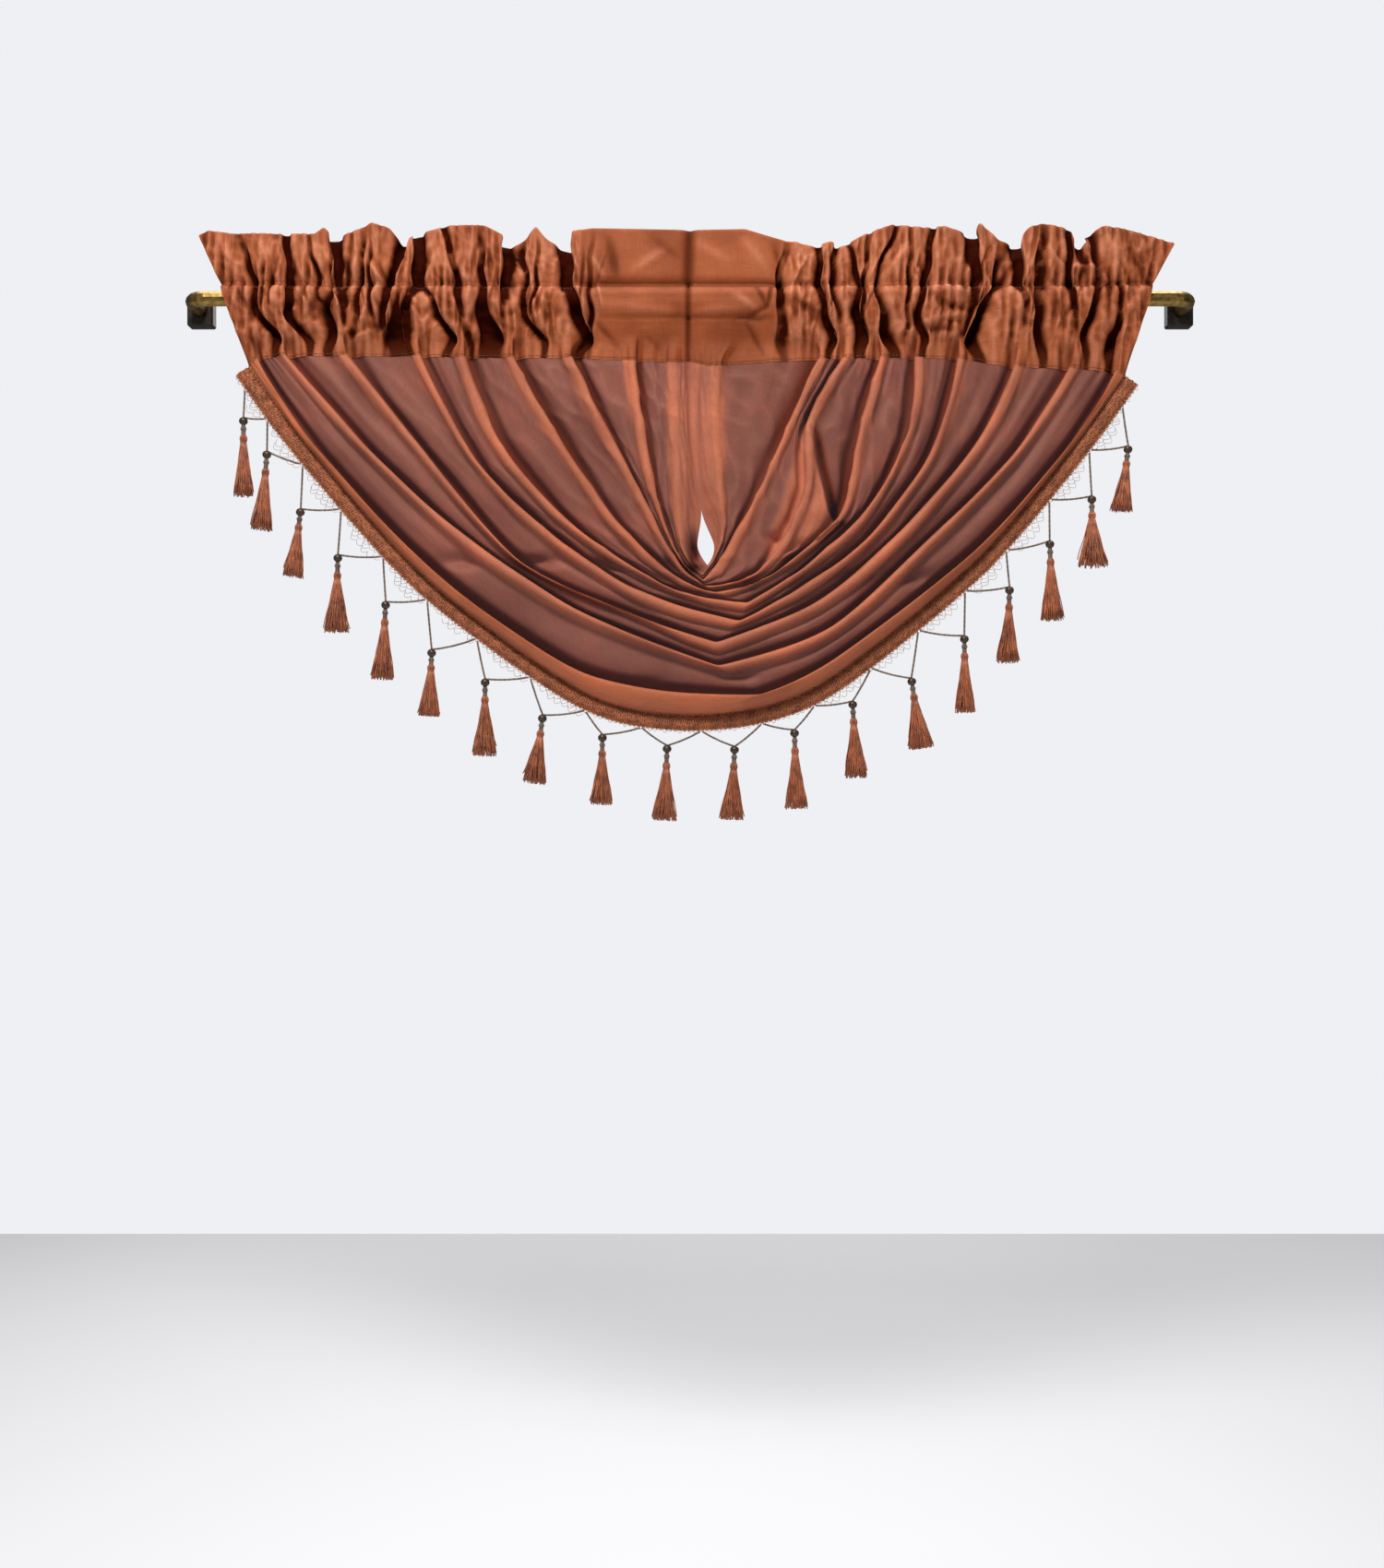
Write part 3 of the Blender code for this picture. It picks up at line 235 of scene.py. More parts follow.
def through(points, t):
    p = np.asarray(points, float)
    n = len(p) - 1
    slope = np.empty_like(p)
    slope[1:-1] = (p[2:] - p[:-2]) / 2
    slope[0] = 1.5 * (p[1] - p[0]) - 0.5 * slope[1]
    slope[-1] = 1.5 * (p[-1] - p[-2]) - 0.5 * slope[-2]
    slope[1:-1] *= TENSION
    at = np.clip(np.asarray(t, float), 0, 1) * n
    i = np.minimum(at.astype(int), n - 1)
    f = (at - i)[..., None]
    return (
        (2 * f**3 - 3 * f**2 + 1) * p[i]
        + (f**3 - 2 * f**2 + f) * slope[i]
        + (3 * f**2 - 2 * f**3) * p[i + 1]
        + (f**3 - f**2) * slope[i + 1]
    )


def eased(x, y, at):
    x, y, at = np.asarray(x, float), np.asarray(y, float), np.asarray(at, float)
    step = np.diff(x)
    rate = np.diff(y) / step
    slope = np.zeros_like(y)
    both = rate[1:] * rate[:-1] > 0
    mean = 2 * rate[1:] * rate[:-1] / np.where(both, rate[1:] + rate[:-1], 1)
    slope[1:-1] = np.where(both, mean, 0)
    slope[0], slope[-1] = rate[0], rate[-1]
    i = np.clip(np.searchsorted(x, at, side="right") - 1, 0, len(x) - 2)
    h = step[i]
    f = (np.clip(at, x[0], x[-1]) - x[i]) / h
    return (
        (2 * f**3 - 3 * f**2 + 1) * y[i]
        + (f**3 - 2 * f**2 + f) * h * slope[i]
        + (3 * f**2 - 2 * f**3) * y[i + 1]
        + (f**3 - f**2) * h * slope[i + 1]
    )


def smooth(f):
    f = np.clip(f, 0, 1)
    return f * f * (3 - 2 * f)


def ripple(seed, a, b, waves=7, low=0.6, high=2.2):
    """Soft uneven wave in two coordinates, about -1 to 1."""
    found = np.random.default_rng(seed)
    out = 0
    for _ in range(waves):
        fa, fb = found.uniform(low, high), found.uniform(-high, high)
        out = out + np.sin(a * fa * math.tau + b * fb * math.tau + found.uniform(0, math.tau))
    return out / math.sqrt(waves)


def unit(v):
    return v / np.maximum(np.linalg.norm(v, axis=-1, keepdims=True), 1e-12)


# ----------------------------------------------------------------------------- the swag's surface
def line_points(rows, s):
    found = []
    for row in table(LINE_COLUMNS, rows):
        found.append(through([(row[a + "_x"] * GRID, -row[a + "_d"] * GRID) for a in STATIONS], s))
    return np.array(found)


def body_values(name, s):
    found = []
    for row in table(BODY_COLUMNS, BODY):
        found.append(eased([0, 0.5, 1], [row[name + "_head"], row[name + "_mid"], row[name + "_vee"]], s) / 1000)
    return np.array(found)


def fold_section(step):
    rows = table(SECTION_COLUMNS, SECTION)
    at = [row["step"] for row in rows]
    return [eased(at, [row[name] for row in rows], step) for name in SECTION_COLUMNS[1:]]


def swag_side(rows, s, places):
    """(across, along, 3) points, and the painted highlight and shade at each, by where on a fold it is: 1 on its crest,
    0 in the flat, -1 in the hollow.
    """
    line = line_points(rows, s)
    front = -ROD_REACH - body_values("front", s)
    deep = body_values("deep", s)
    last = len(line) - 1
    out, crest = [], []
    for u in places:
        k = min(int(u + 1e-9), last - 1)
        f = u - k
        inner, outer = line[k + 1], line[k]
        span = np.linalg.norm(outer - inner, axis=1)
        way = (outer - inner) / span[:, None]
        if k == 0:
            turn = (1 - f) * math.pi / 2
            place = span * math.sin(turn)
            y = front[1] + (front[0] - front[1]) * (1 - math.cos(turn))
            # painted shade: the hem roll is darker towards the hem's edge, under the roll
            crest.append(np.full(len(s), 0.30 + 0.70 * float(smooth(f / 0.7))))
        elif k == last - 1:
            place = span * (1 - f)
            y = front[k] + (front[last] - front[k]) * smooth(f)
            crest.append(np.full(len(s), 0.7))
        else:
            across, ridge, tucked, depth, bright, dark = fold_section(1 - f)
            wide = np.minimum(RIDGE, 0.40 * span)
            place = across * span + ridge * wide
            place = place + tucked * np.minimum(BODY[k][-1] / 1000, 0.30 * span)
            y = front[k + 1] + (front[k] - front[k + 1]) * across + deep[k] * depth
            # bright less dark: the painted highlight on the ridge and the painted shade in the gap
            crest.append(np.full(len(s), bright - dark))
        xz = inner + way * place[:, None]
        out.append(np.stack([xz[:, 0], y, xz[:, 1]], axis=-1))
    return np.array(out), np.array(crest)


def fold_steps(count):
    """Steps across one fold, closer together round the lip."""
    even = np.linspace(0, 1, count + 1)[:-1]
    return even ** 1.35 * 0.55 + even * 0.45


LAST = len(BODY) - 1


def swag_rows(count):
    places = list(np.linspace(0, 1, 13)[:-1])
    for k in range(1, LAST - 1):
        places += list(k + fold_steps(count))
    return np.array(places + list(np.linspace(LAST - 1, LAST, 12)))


ALONG = 150
ROWS = swag_rows(23)
S = np.linspace(0, 1, ALONG + 1)


def build_swag():
    left, crest_left = swag_side(LEFT_LINES, S, ROWS)
    right, crest_right = swag_side(RIGHT_LINES, S, ROWS)
    sheet = np.concatenate([left, right[:, -2::-1]], axis=1)
    crest = np.concatenate([crest_left, crest_right[:, -2::-1]], axis=1)
    rows, columns = sheet.shape[:2]
    slit = round(SLIT_STATION * ALONG)
    s = np.concatenate([S, S[-2::-1]])
    side = np.concatenate([-np.ones(ALONG + 1), np.ones(ALONG)])

    def joined():
        for c in range(slit + 1):
            both = (sheet[-1, c] + sheet[-1, columns - 1 - c]) / 2
            sheet[-1, c] = sheet[-1, columns - 1 - c] = both

    joined()
    # soften the folds a little, so that each lip is a roll and not an edge
    for _ in range(1):
        sheet[1:-1] = 0.25 * sheet[:-2] + 0.5 * sheet[1:-1] + 0.25 * sheet[2:]
    middle = sheet.copy()
    for _ in range(2):
        middle[:, 1:-1] = 0.25 * middle[:, :-2] + 0.5 * middle[:, 1:-1] + 0.25 * middle[:, 2:]
    near = np.exp(-(((1 - s) / 0.02) ** 2))[None, :, None]
    sheet = sheet + (middle - sheet) * near

    normal = unit(np.cross(np.gradient(sheet, axis=0), np.gradient(sheet, axis=1)))
    if np.mean(normal[:, ALONG // 2, 1]) > 0:
        normal = -normal
    u = ROWS[:, None]
    lift = np.zeros(sheet.shape[:2])
    for row in table(MINOR_COLUMNS, MINOR):
        here = side < 0 if row["side"] == "left" else side > 0
        fade = smooth((row["reach"] - s) / (0.6 * row["reach"])) * here
        wander = 0.05 * np.sin(s * 9 + row["at"] * 5)
        lift += 0.6 * row["high"] / 1000 * np.exp(-(((u - row["at"] - wander[None, :]) / row["half"]) ** 2)) * fade[None, :]
    # long soft unevenness down the folds, and small crinkles where the cloth is gathered
    signed = (side * (1 - s))[None, :]
    lift += 0.0006 * ripple(5, u * 0.55, signed * 1.1) * smooth((1 - s) * 6)[None, :]
    lift += 0.0003 * ripple(6, u * 1.6, signed * 3.0) * smooth((1 - s) * 6)[None, :]
    lift += 0.0007 * ripple(9, u * 3.2, signed * 1.5) * smooth((0.25 - s) / 0.25)[None, :]
    fine = 1 - 2 * np.minimum(np.abs(ripple(12, u * 1.3, signed * 2.2, waves=6)), 1) ** 0.7
    lift += 0.0007 * fine * smooth((1 - s) * 7)[None, :] * smooth((u - 3.0) / 3.0)
    edge = smooth(np.minimum(ROWS, LAST - ROWS) / 0.5)[:, None]
    sheet = sheet + normal * (lift * edge)[..., None]
    px, pd = sheet[..., 0] / GRID, -sheet[..., 2] / GRID
    for row in table(DENT_COLUMNS, DENTS):
        near = np.exp(-(((px - row["x"]) / row["half_x"]) ** 2) - ((pd - row["d"]) / row["half_d"]) ** 2)
        near = near * np.maximum(1 - np.clip(crest, 0, 1), row["over"])
        sheet[..., 1] += row["deep"] / 1000 * near * np.maximum(edge, row["over"])
        # painted shade laid into the dents marked with over
        crest = crest - 3.2 * near * row["over"]
    rows_ = table(FACET_COLUMNS, FACET)
    at = [row["d"] for row in rows_]
    left_, lip = np.interp(pd, at, [r["left"] for r in rows_]), np.interp(pd, at, [r["lip"] for r in rows_])
    high = np.interp(pd, at, [r["high"] for r in rows_]) / 1000
    rise = np.clip((px - left_) / np.maximum(lip - left_, 1), 0, 1) ** 1.3 * smooth((lip + 4 - px) / 5)
    here = (u > 4.5) * (side > 0)[None, :]
    sheet[..., 1] -= high * rise * here
    # painted highlight: the facet is painted as bright as a ridge, with a painted shade in the hollow beyond its lip
    strong = smooth(high / 0.006) * here
    inside = smooth((px - left_) / 10) * smooth((lip + 2 - px) / 4)
    crest = crest + (0.95 - crest) * inside * strong
    beyond = np.exp(-(((px - lip - 7) / 4.5) ** 2)) * strong
    crest = crest - 2.2 * beyond * (crest < 0.95)
    # a faint painted highlight and shade on the fine crinkles
    crest = crest + 0.16 * fine * np.maximum(1 - np.abs(crest), 0) * smooth((u - 1.5) / 2.0)
    crest = np.clip(crest, -2, 1)
    joined()
    # the light runs unevenly along the folds
    uneven = ripple(51, u * 1.1, signed * 1.6, waves=6, low=0.5, high=1.8)
    crest = np.where(crest > 0, crest * (1 + 0.16 * np.clip(uneven, -1.5, 1.5)), crest * (1 - 0.22 * np.clip(uneven, -1.5, 1.5)))
    crest = np.clip(crest, -2, 1.1)
    return sheet, crest


SHEET, SWAG_PAINTED_SHADING = build_swag()
DOUBLE = 0.75 * (1 - smooth((ROWS - 0.75) / 0.35))[:, None] + 0 * SWAG_PAINTED_SHADING
SLIT = round(SLIT_STATION * ALONG)
ROW_COUNT, COLUMN_COUNT = SHEET.shape[:2]


# ----------------------------------------------------------------------------- the heading's surface
def top_edge(x):
    rows = table(TOP_COLUMNS, TOP_EDGE)
    return np.interp(x / GRID, [r["x"] for r in rows], [r["top"] for r in rows]) * GRID


SEAM_ROW = np.concatenate([SHEET[:, 0], SHEET[-2::-1, -1]])
EVEN_ROW = np.concatenate([
    np.interp(ROWS, np.arange(LAST + 1), [row[1] * GRID for row in LEFT_LINES]),
    np.interp(ROWS, np.arange(LAST + 1), [row[1] * GRID for row in RIGHT_LINES])[-2::-1],
])
COLUMNS = 760
EVEN = np.linspace(EVEN_ROW[0], EVEN_ROW[-1], COLUMNS + 1)
SEAM = np.stack([np.interp(EVEN, EVEN_ROW, SEAM_ROW[:, i]) for i in range(3)], axis=-1)
TOP = top_edge(EVEN * TOP_SPREAD)
for _ in range(2):
    TOP[1:-1] = 0.25 * TOP[:-2] + 0.5 * TOP[1:-1] + 0.25 * TOP[2:]
# no gathers in the flat middle of the heading
GATHER_DEPTH = 0.0019
LOOSE_ENDS = smooth((np.abs(EVEN / GRID + 5) - 96) / 16)


def gather(x, z):
    """Depth in metres of the gathers at x and z, positive to the back, and how far they lean sideways."""
    up = 3 + np.clip((z - STITCH_Z) / (TOP - STITCH_Z), 0, 1)
    level = np.where(z > STITCH_Z, up, np.interp(z, [-0.066, -0.045, -0.0155, STITCH_Z], [0, 1, 2, 3]))
    depth, lean = np.zeros_like(x), np.zeros_like(x)
    for i, row in enumerate(table(GATHER_COLUMNS, GATHERS)):
        at = eased([0, 1, 2, 3, 4], [row[n + "_x"] for n in ("low", "low", "mid", "stitch", "top")], level)
        at = at + 1.2 * np.sin(z * 170 + i * 2.1)
        deep = np.interp(level, [0, 1, 2, 3, 4], [0.55 * row["low_deep"], row["low_deep"], row["mid_deep"], row["stitch_deep"], row["top_deep"]])
        half = np.interp(level, [0, 1, 2, 3, 4], [row["low_half"], row["low_half"], 0.4 * (row["low_half"] + row["top_half"]), 0.75 * row["top_half"], 0.8 * row["top_half"]])
        away = (x / GRID - at) / (0.70 * half)
        slot = 0.70 * np.exp(-0.69 * np.abs(away) ** 2.2) + 0.30 * np.exp(-0.69 * (away / 3.2) ** 2)
        depth += deep * GATHER_DEPTH * slot
        # the walls of a deep gather stand upright or lean over it
        wall = np.clip(deep / 8, 0, 1.3)
        lean += 0.70 * half * GRID * 1.9 * wall * away * np.exp(-((away / 0.8) ** 2))
        lean += row["lean"] * deep * GATHER_DEPTH * np.exp(-0.69 * (away / 1.6) ** 2)
    # fine puckers, strongest at the stitch line
    near = np.exp(-(((z - STITCH_Z) / 0.017) ** 2))
    fine = ripple(21, x / 0.016, z / 0.16, waves=6, low=0.8, high=1.9)
    finer = ripple(22, x / 0.009, z / 0.10, waves=6, low=0.8, high=1.6)
    depth += (0.0014 * fine * (0.45 + 0.55 * near) + 0.0008 * finer * (0.3 + 0.7 * near)) * LOOSE_ENDS
    return depth, lean


def small_creases():
    """Short sharp wrinkles that run down from the stitch line and out into the ruffle: x1, d1, x2, d2, half, high."""
    pick = np.random.default_rng(41)
    found = []
    for row in table(GATHER_COLUMNS, GATHERS):
        for _ in range(5):
            x = row["stitch_x"] + pick.uniform(-16, 16)
            slant = pick.uniform(-0.45, 0.45)
            if pick.random() < 0.6:
                d1, d2 = pick.uniform(-16, -8), pick.uniform(8, 34)
            else:
                d1, d2 = pick.uniform(-58, -38), pick.uniform(-18, -10)
            high = pick.choice([-1, -1, 1]) * pick.uniform(1.2, 2.6)
            found.append((x - slant * 12, d1, x + slant * (d2 - d1), d2, pick.uniform(1.8, 3.2), high))
    return found


SMALL_CREASES = small_creases()


def crease(x, z):
    lift = np.zeros_like(x)
    px, pd = x / GRID, -z / GRID
    for row in table(CREASE_COLUMNS, CREASES + SMALL_CREASES):
        a = np.array([row["x1"], row["d1"]], float)
        run = np.array([row["x2"], row["d2"]], float) - a
        f = np.clip(((px - a[0]) * run[0] + (pd - a[1]) * run[1]) / (run @ run), 0, 1)
        away = np.hypot(px - a[0] - run[0] * f, pd - a[1] - run[1] * f)
        lift += 1.35 * row["high"] / 1000 * np.exp(-((away / (0.85 * row["half"])) ** 2)) * np.sin(math.pi * (0.15 + 0.7 * f))
    return lift


def crumple(x, z):
    """Small sharp-edged crumples, drawn out up and down, that fill the gathered cloth: mostly ridges, in metres."""
    wave = 0.55 * ripple(31, x / 0.030, z / 0.085, waves=6, low=0.7, high=1.7)
    wave = wave + 0.45 * ripple(32, x / 0.017, z / 0.050, waves=6, low=0.7, high=1.8)
    wave = wave + 0.35 * ripple(33, x / 0.010, z / 0.034, waves=6, low=0.7, high=1.7)
    cross = 0.6 * ripple(34, x / 0.040, z / 0.026, waves=6, low=0.6, high=1.6) + 0.4 * ripple(35, x / 0.022, z / 0.016, waves=5, low=0.6, high=1.5)
    ridge = 1 - 2 * np.minimum(np.abs(wave), 1) ** 0.7
    slant = 1 - 2 * np.minimum(np.abs(cross), 1) ** 0.7
    # drawn straight beside the stitches, freer in the ruffle and in the belly of the pocket
    free = np.interp(z, [-0.060, -0.030, -0.006, STITCH_Z, 0.030, 0.070], [0.5, 1.0, 0.7, 0.25, 0.7, 0.35])
    return 0.0013 * ridge + 0.0009 * slant * free


HALF_DEPTH = ((-0.075, 0.0006), (-0.060, 0.0008), (-0.045, 0.0022), (-0.028, 0.0045), (-0.016, 0.0085),
              (-0.0065, 0.0118), (0.003, 0.0126), (0.009, 0.0090), (0.0130, 0.0010))
CENTRE = ((-0.075, 0.0), (-0.060, -0.001), (-0.030, -0.003), (-0.015, -0.002), (0.0, 0.0), (0.0130, 0.0))


def soft_least(a, b, e=0.0008):
    return 0.5 * (a + b - np.sqrt((a - b) ** 2 + e * e))


def heading_level(z):
    """One level of the front ply and of the back ply, and its painted highlight and shade."""
    z = np.broadcast_to(np.asarray(z, float), EVEN.shape)
    low = np.clip((z - SEAM[:, 2]) / (STITCH_Z - SEAM[:, 2]), 0, 1)
    high = np.clip((z - STITCH_Z) / (TOP - STITCH_Z), 0, 1)
    spread = 1 + (STITCH_SPREAD - 1) * low + (TOP_SPREAD - STITCH_SPREAD) * high
    loose = 1 - smooth(low * 2.7)
    x = EVEN * spread + (SEAM[:, 0] - EVEN) * loose
    deep, lean = gather(x, z)
    mean = np.convolve(np.pad(deep, 4, mode="edge"), np.full(9, 1 / 9), mode="valid")
    wide = np.convolve(np.pad(deep, 14, mode="edge"), np.full(29, 1 / 29), mode="valid")
    crinkle = crease(x, z) + crumple(x, z) * LOOSE_ENDS * (1 - loose)
    ends = np.interp(z, [p[0] for p in HALF_DEPTH], [p[1] for p in HALF_DEPTH])
    centre = np.interp(z, [p[0] for p in CENTRE], [p[1] for p in CENTRE])
    # gathered cloth stands further out than the flat middle
    puff = LOOSE_ENDS * np.interp(z, [-0.066, -0.045, -0.010, 0.006, STITCH_Z, 0.030, 0.060], [0.003, 0.006, 0.005, 0.0045, 0.005, 0.007, 0.005])
    flare = 0.0030 * smooth(high * 6) * (1 - 0.5 * high) * (1 - 0.6 * LOOSE_ENDS)
    # the centre seam draws the cloth in, more so in the ruffle
    width = np.where(z > STITCH_Z, 5.5, 2.6)
    seam = np.exp(-(np.abs(x / GRID + 2.0 - 1.5 * high) / width) ** 1.6)
    front = -ROD_REACH + centre - ends - puff + deep - crinkle - flare + seam * np.where(z > STITCH_Z, 0.0045, 0.0035)
    # painted shade: darker deep in the gathers, in the centre seam's groove and along the stitch line; then a painted
    # highlight on the ridges of the crumples and creases, and a painted shade between them
    dark = np.clip((deep - 0.0040) / 0.0095, 0, 1) + 0.75 * seam + 0.30 * np.exp(-(((z - STITCH_Z) / 0.0030) ** 2))
    shade = np.clip(-crinkle / 0.0014, -1.4, 1.4) * 0.46 + np.clip((deep - mean) / 0.0010, -1, 1) * 0.38
    shade = shade + np.clip((deep - wide) / 0.0045, -0.6, 0.6) * 0.5 * LOOSE_ENDS
    dark = np.clip(dark + shade, -0.9, 1) * (1 - 0.10 * loose)
    rod = 0.0090
    face = np.where(np.abs(z) < rod, np.sqrt(np.maximum(rod**2 - z**2, 0)), -4 * (np.abs(z) - rod))
    front = soft_least(front, -ROD_REACH - face)
    back = -ROD_REACH + centre + ends - 0.3 * puff + 0.5 * deep + 0.4 * crinkle
    back = -soft_least(-back, ROD_REACH - face)
    back = -soft_least(-back, -(front + 0.0016 + 0.0008 * np.sin(math.pi * high)))
    above = front + 0.0012 + 0.0010 * np.sin(math.pi * high)
    back = np.where(z > STITCH_Z, above, back)
    # the two plies meet at the stitch line and at the seam below
    blend = np.exp(-(((z - STITCH_Z) / 0.0020) ** 2))
    between = (front + np.minimum(back, front + 0.003)) / 2 + 0.0012 * (1 - LOOSE_ENDS)
    front = front + (between - 0.0005 - front) * blend
    back = back + (between + 0.0005 - back) * blend
    front = front + (SEAM[:, 1] - 0.0005 - front) * loose
    back = back + (SEAM[:, 1] + 0.0005 - back) * loose
    x = x + lean * (1 - loose)
    return np.stack([x, front, z], axis=-1), np.stack([x, back, z], axis=-1), dark


def heading_rows():
    """Levels from the pocket seam up, as shares: 0..1 up to the stitch line, 1..2 in the ruffle."""
    return np.concatenate([np.linspace(0, 1, 34)[:-1], 1 + np.linspace(0, 1, 24)])


def level_z(share):
    low = SEAM[:, 2] - 0.0008
    return np.where(share <= 1, low + (STITCH_Z - low) * min(share, 1), STITCH_Z + (TOP - STITCH_Z) * max(share - 1, 0))


def build_heading():
    plies = [heading_level(level_z(v)) for v in heading_rows()]
    front = [ply[0] for ply in plies]
    back = [ply[1] for ply in plies[::-1]]
    dark = [ply[2] for ply in plies]
    # the top fold: a narrow turn between the plies
    fold = (front[-1] + back[0]) / 2 + np.array([0, 0, 0.0006])
    return np.array(front + [fold] + back), np.array(dark + [dark[-1]] + dark[::-1])


# ----------------------------------------------------------------------------- mesh helpers
def new_object(name, mesh):
    made = bpy.data.objects.new(name, mesh)
    bpy.context.scene.collection.objects.link(made)
    return made


def grid_mesh(name, points, uv=None, attributes=(), weld=None):
    """Smooth quad mesh over a (rows, columns, 3) grid. weld maps a vertex index to the one that it shares."""
    rows, columns = points.shape[:2]
    index = np.arange(rows * columns)
    if weld is not None:
        for a, b in weld:
            index[a] = b
    grid = index.reshape(rows, columns)
    own = np.arange(rows * columns).reshape(rows, columns)
    quads = np.stack([grid[:-1, :-1], grid[1:, :-1], grid[1:, 1:], grid[:-1, 1:]], axis=-1).reshape(-1, 4)
    corners = np.stack([own[:-1, :-1], own[1:, :-1], own[1:, 1:], own[:-1, 1:]], axis=-1).reshape(-1, 4)
    used = np.unique(quads)
    renumber = np.full(rows * columns, -1)
    renumber[used] = np.arange(len(used))
    mesh = bpy.data.meshes.new(name)
    flat = points.reshape(-1, 3)
    mesh.from_pydata(flat[used].tolist(), [], renumber[quads].tolist())
    if uv is not None:
        layer = mesh.uv_layers.new(name="cut")
        layer.data.foreach_set("uv", uv.reshape(-1, 2)[corners.reshape(-1)].astype(np.float32).reshape(-1))
    for label, values in attributes:
        layer = mesh.attributes.new(label, "FLOAT", "POINT")
        layer.data.foreach_set("value", values.reshape(-1)[used].astype(np.float32))
    mesh.shade_smooth()
    return mesh


def lengths_uv(points):
    """Flat lengths along and across the sheet, in metres, for the weave."""
    across = np.concatenate([np.zeros((1,) + points.shape[1:2]), np.cumsum(np.linalg.norm(np.diff(points, axis=0), axis=-1), axis=0)])
    along = np.concatenate([np.zeros(points.shape[:1] + (1,)), np.cumsum(np.linalg.norm(np.diff(points, axis=1), axis=-1), axis=1)], axis=1)
    middle = points.shape[1] // 2
    along = along - along[:, middle : middle + 1]
    return np.stack([along, across], axis=-1)


def tubes_mesh(name, paths, radii, sides=5, closed=False):
    """Many tubes as one mesh: paths is a list of (n, 3), radii a number or an array for each path."""
    points, faces, start = [], [], 0
    for path, radius in zip(paths, radii):
        path = np.asarray(path, float)
        n = len(path)
        if closed:
            run = unit(np.roll(path, -1, axis=0) - np.roll(path, 1, axis=0))
        else:
            run = unit(np.gradient(path, axis=0))
        up = np.where(np.abs(run[:, 2:3]) < 0.9, np.array([[0.0, 0.0, 1.0]]), np.array([[1.0, 0.0, 0.0]]))
        side = unit(np.cross(run, up))
        for i in range(1, n):  # carried along, so that the tube doesn't twist
            side[i] = unit(side[i - 1] - run[i] * (side[i - 1] @ run[i]))
        other = np.cross(run, side)
        turn = np.arange(sides) / sides * math.tau
        radius = np.broadcast_to(np.asarray(radius, float), (n,))
        ring = path[:, None] + radius[:, None, None] * (
            np.cos(turn)[None, :, None] * side[:, None] + np.sin(turn)[None, :, None] * other[:, None]
        )
        points.append(ring.reshape(-1, 3))
        i = np.arange(n if closed else n - 1)[:, None] * sides
        k = np.arange(sides)[None, :]
        j = (k + 1) % sides
        after = (i + sides) % (n * sides)
        quad = np.stack([i + k, after + k, after + j, i + j], axis=-1).reshape(-1, 4) + start
        faces += quad.tolist()
        if not closed:
            faces.append([start + v for v in range(sides)])
            faces.append([start + (n - 1) * sides + v for v in range(sides)][::-1])
        start += n * sides
    mesh = bpy.data.meshes.new(name)
    mesh.from_pydata(np.concatenate(points).tolist(), [], faces)
    mesh.shade_smooth()
    return mesh


def turned_points(profile, sides):
    turn = np.arange(sides) / sides * math.tau
    return np.array([[(r * math.cos(a), r * math.sin(a), z) for a in turn] for r, z in profile])


# ----------------------------------------------------------------------------- materials
def nodes_of(name):
    made = bpy.data.materials.new(name)
    made.use_nodes = True
    tree = made.node_tree
    shader = tree.nodes["Principled BSDF"]
    return made, tree, shader


def node(tree, kind, **settings):
    made = tree.nodes.new(kind)
    for key, value in settings.items():
        setattr(made, key, value)
    return made


def mixed(tree, factor, a, b, mode="MIX"):
    made = node(tree, "ShaderNodeMix", data_type="RGBA", blend_type=mode)
    for socket, value in ((made.inputs[0], factor), (made.inputs[6], a), (made.inputs[7], b)):
        if isinstance(value, (int, float, tuple)):
            socket.default_value = value
        else:
            tree.links.new(value, socket)
    return made.outputs[2]


def maths(tree, operation, a, b=0.0, clamp=False):
    made = node(tree, "ShaderNodeMath", operation=operation, use_clamp=clamp)
    for socket, value in ((made.inputs[0], a), (made.inputs[1], b)):
        if isinstance(value, (int, float)):
            socket.default_value = value
        else:
            tree.links.new(value, socket)
    return made.outputs[0]


def ramp(tree, factor, stops):
    made = node(tree, "ShaderNodeValToRGB")
    tree.links.new(factor, made.inputs[0])
    ramp_ = made.color_ramp
    while len(ramp_.elements) < len(stops):
        ramp_.elements.new(0.5)
    for element, (at, colour) in zip(ramp_.elements, stops):
        element.position = at
        element.color = (*colour, 1) if len(colour) == 3 else colour
    return made.outputs[0]


RUST = (0.330, 0.080, 0.026)
RUST_DEEP = (0.205, 0.042, 0.011)
# SALMON is the ridges' colour: partly the doubled cloth, partly a painted highlight
SALMON = (0.500, 0.152, 0.078)
MAUVE = (0.215, 0.070, 0.050)


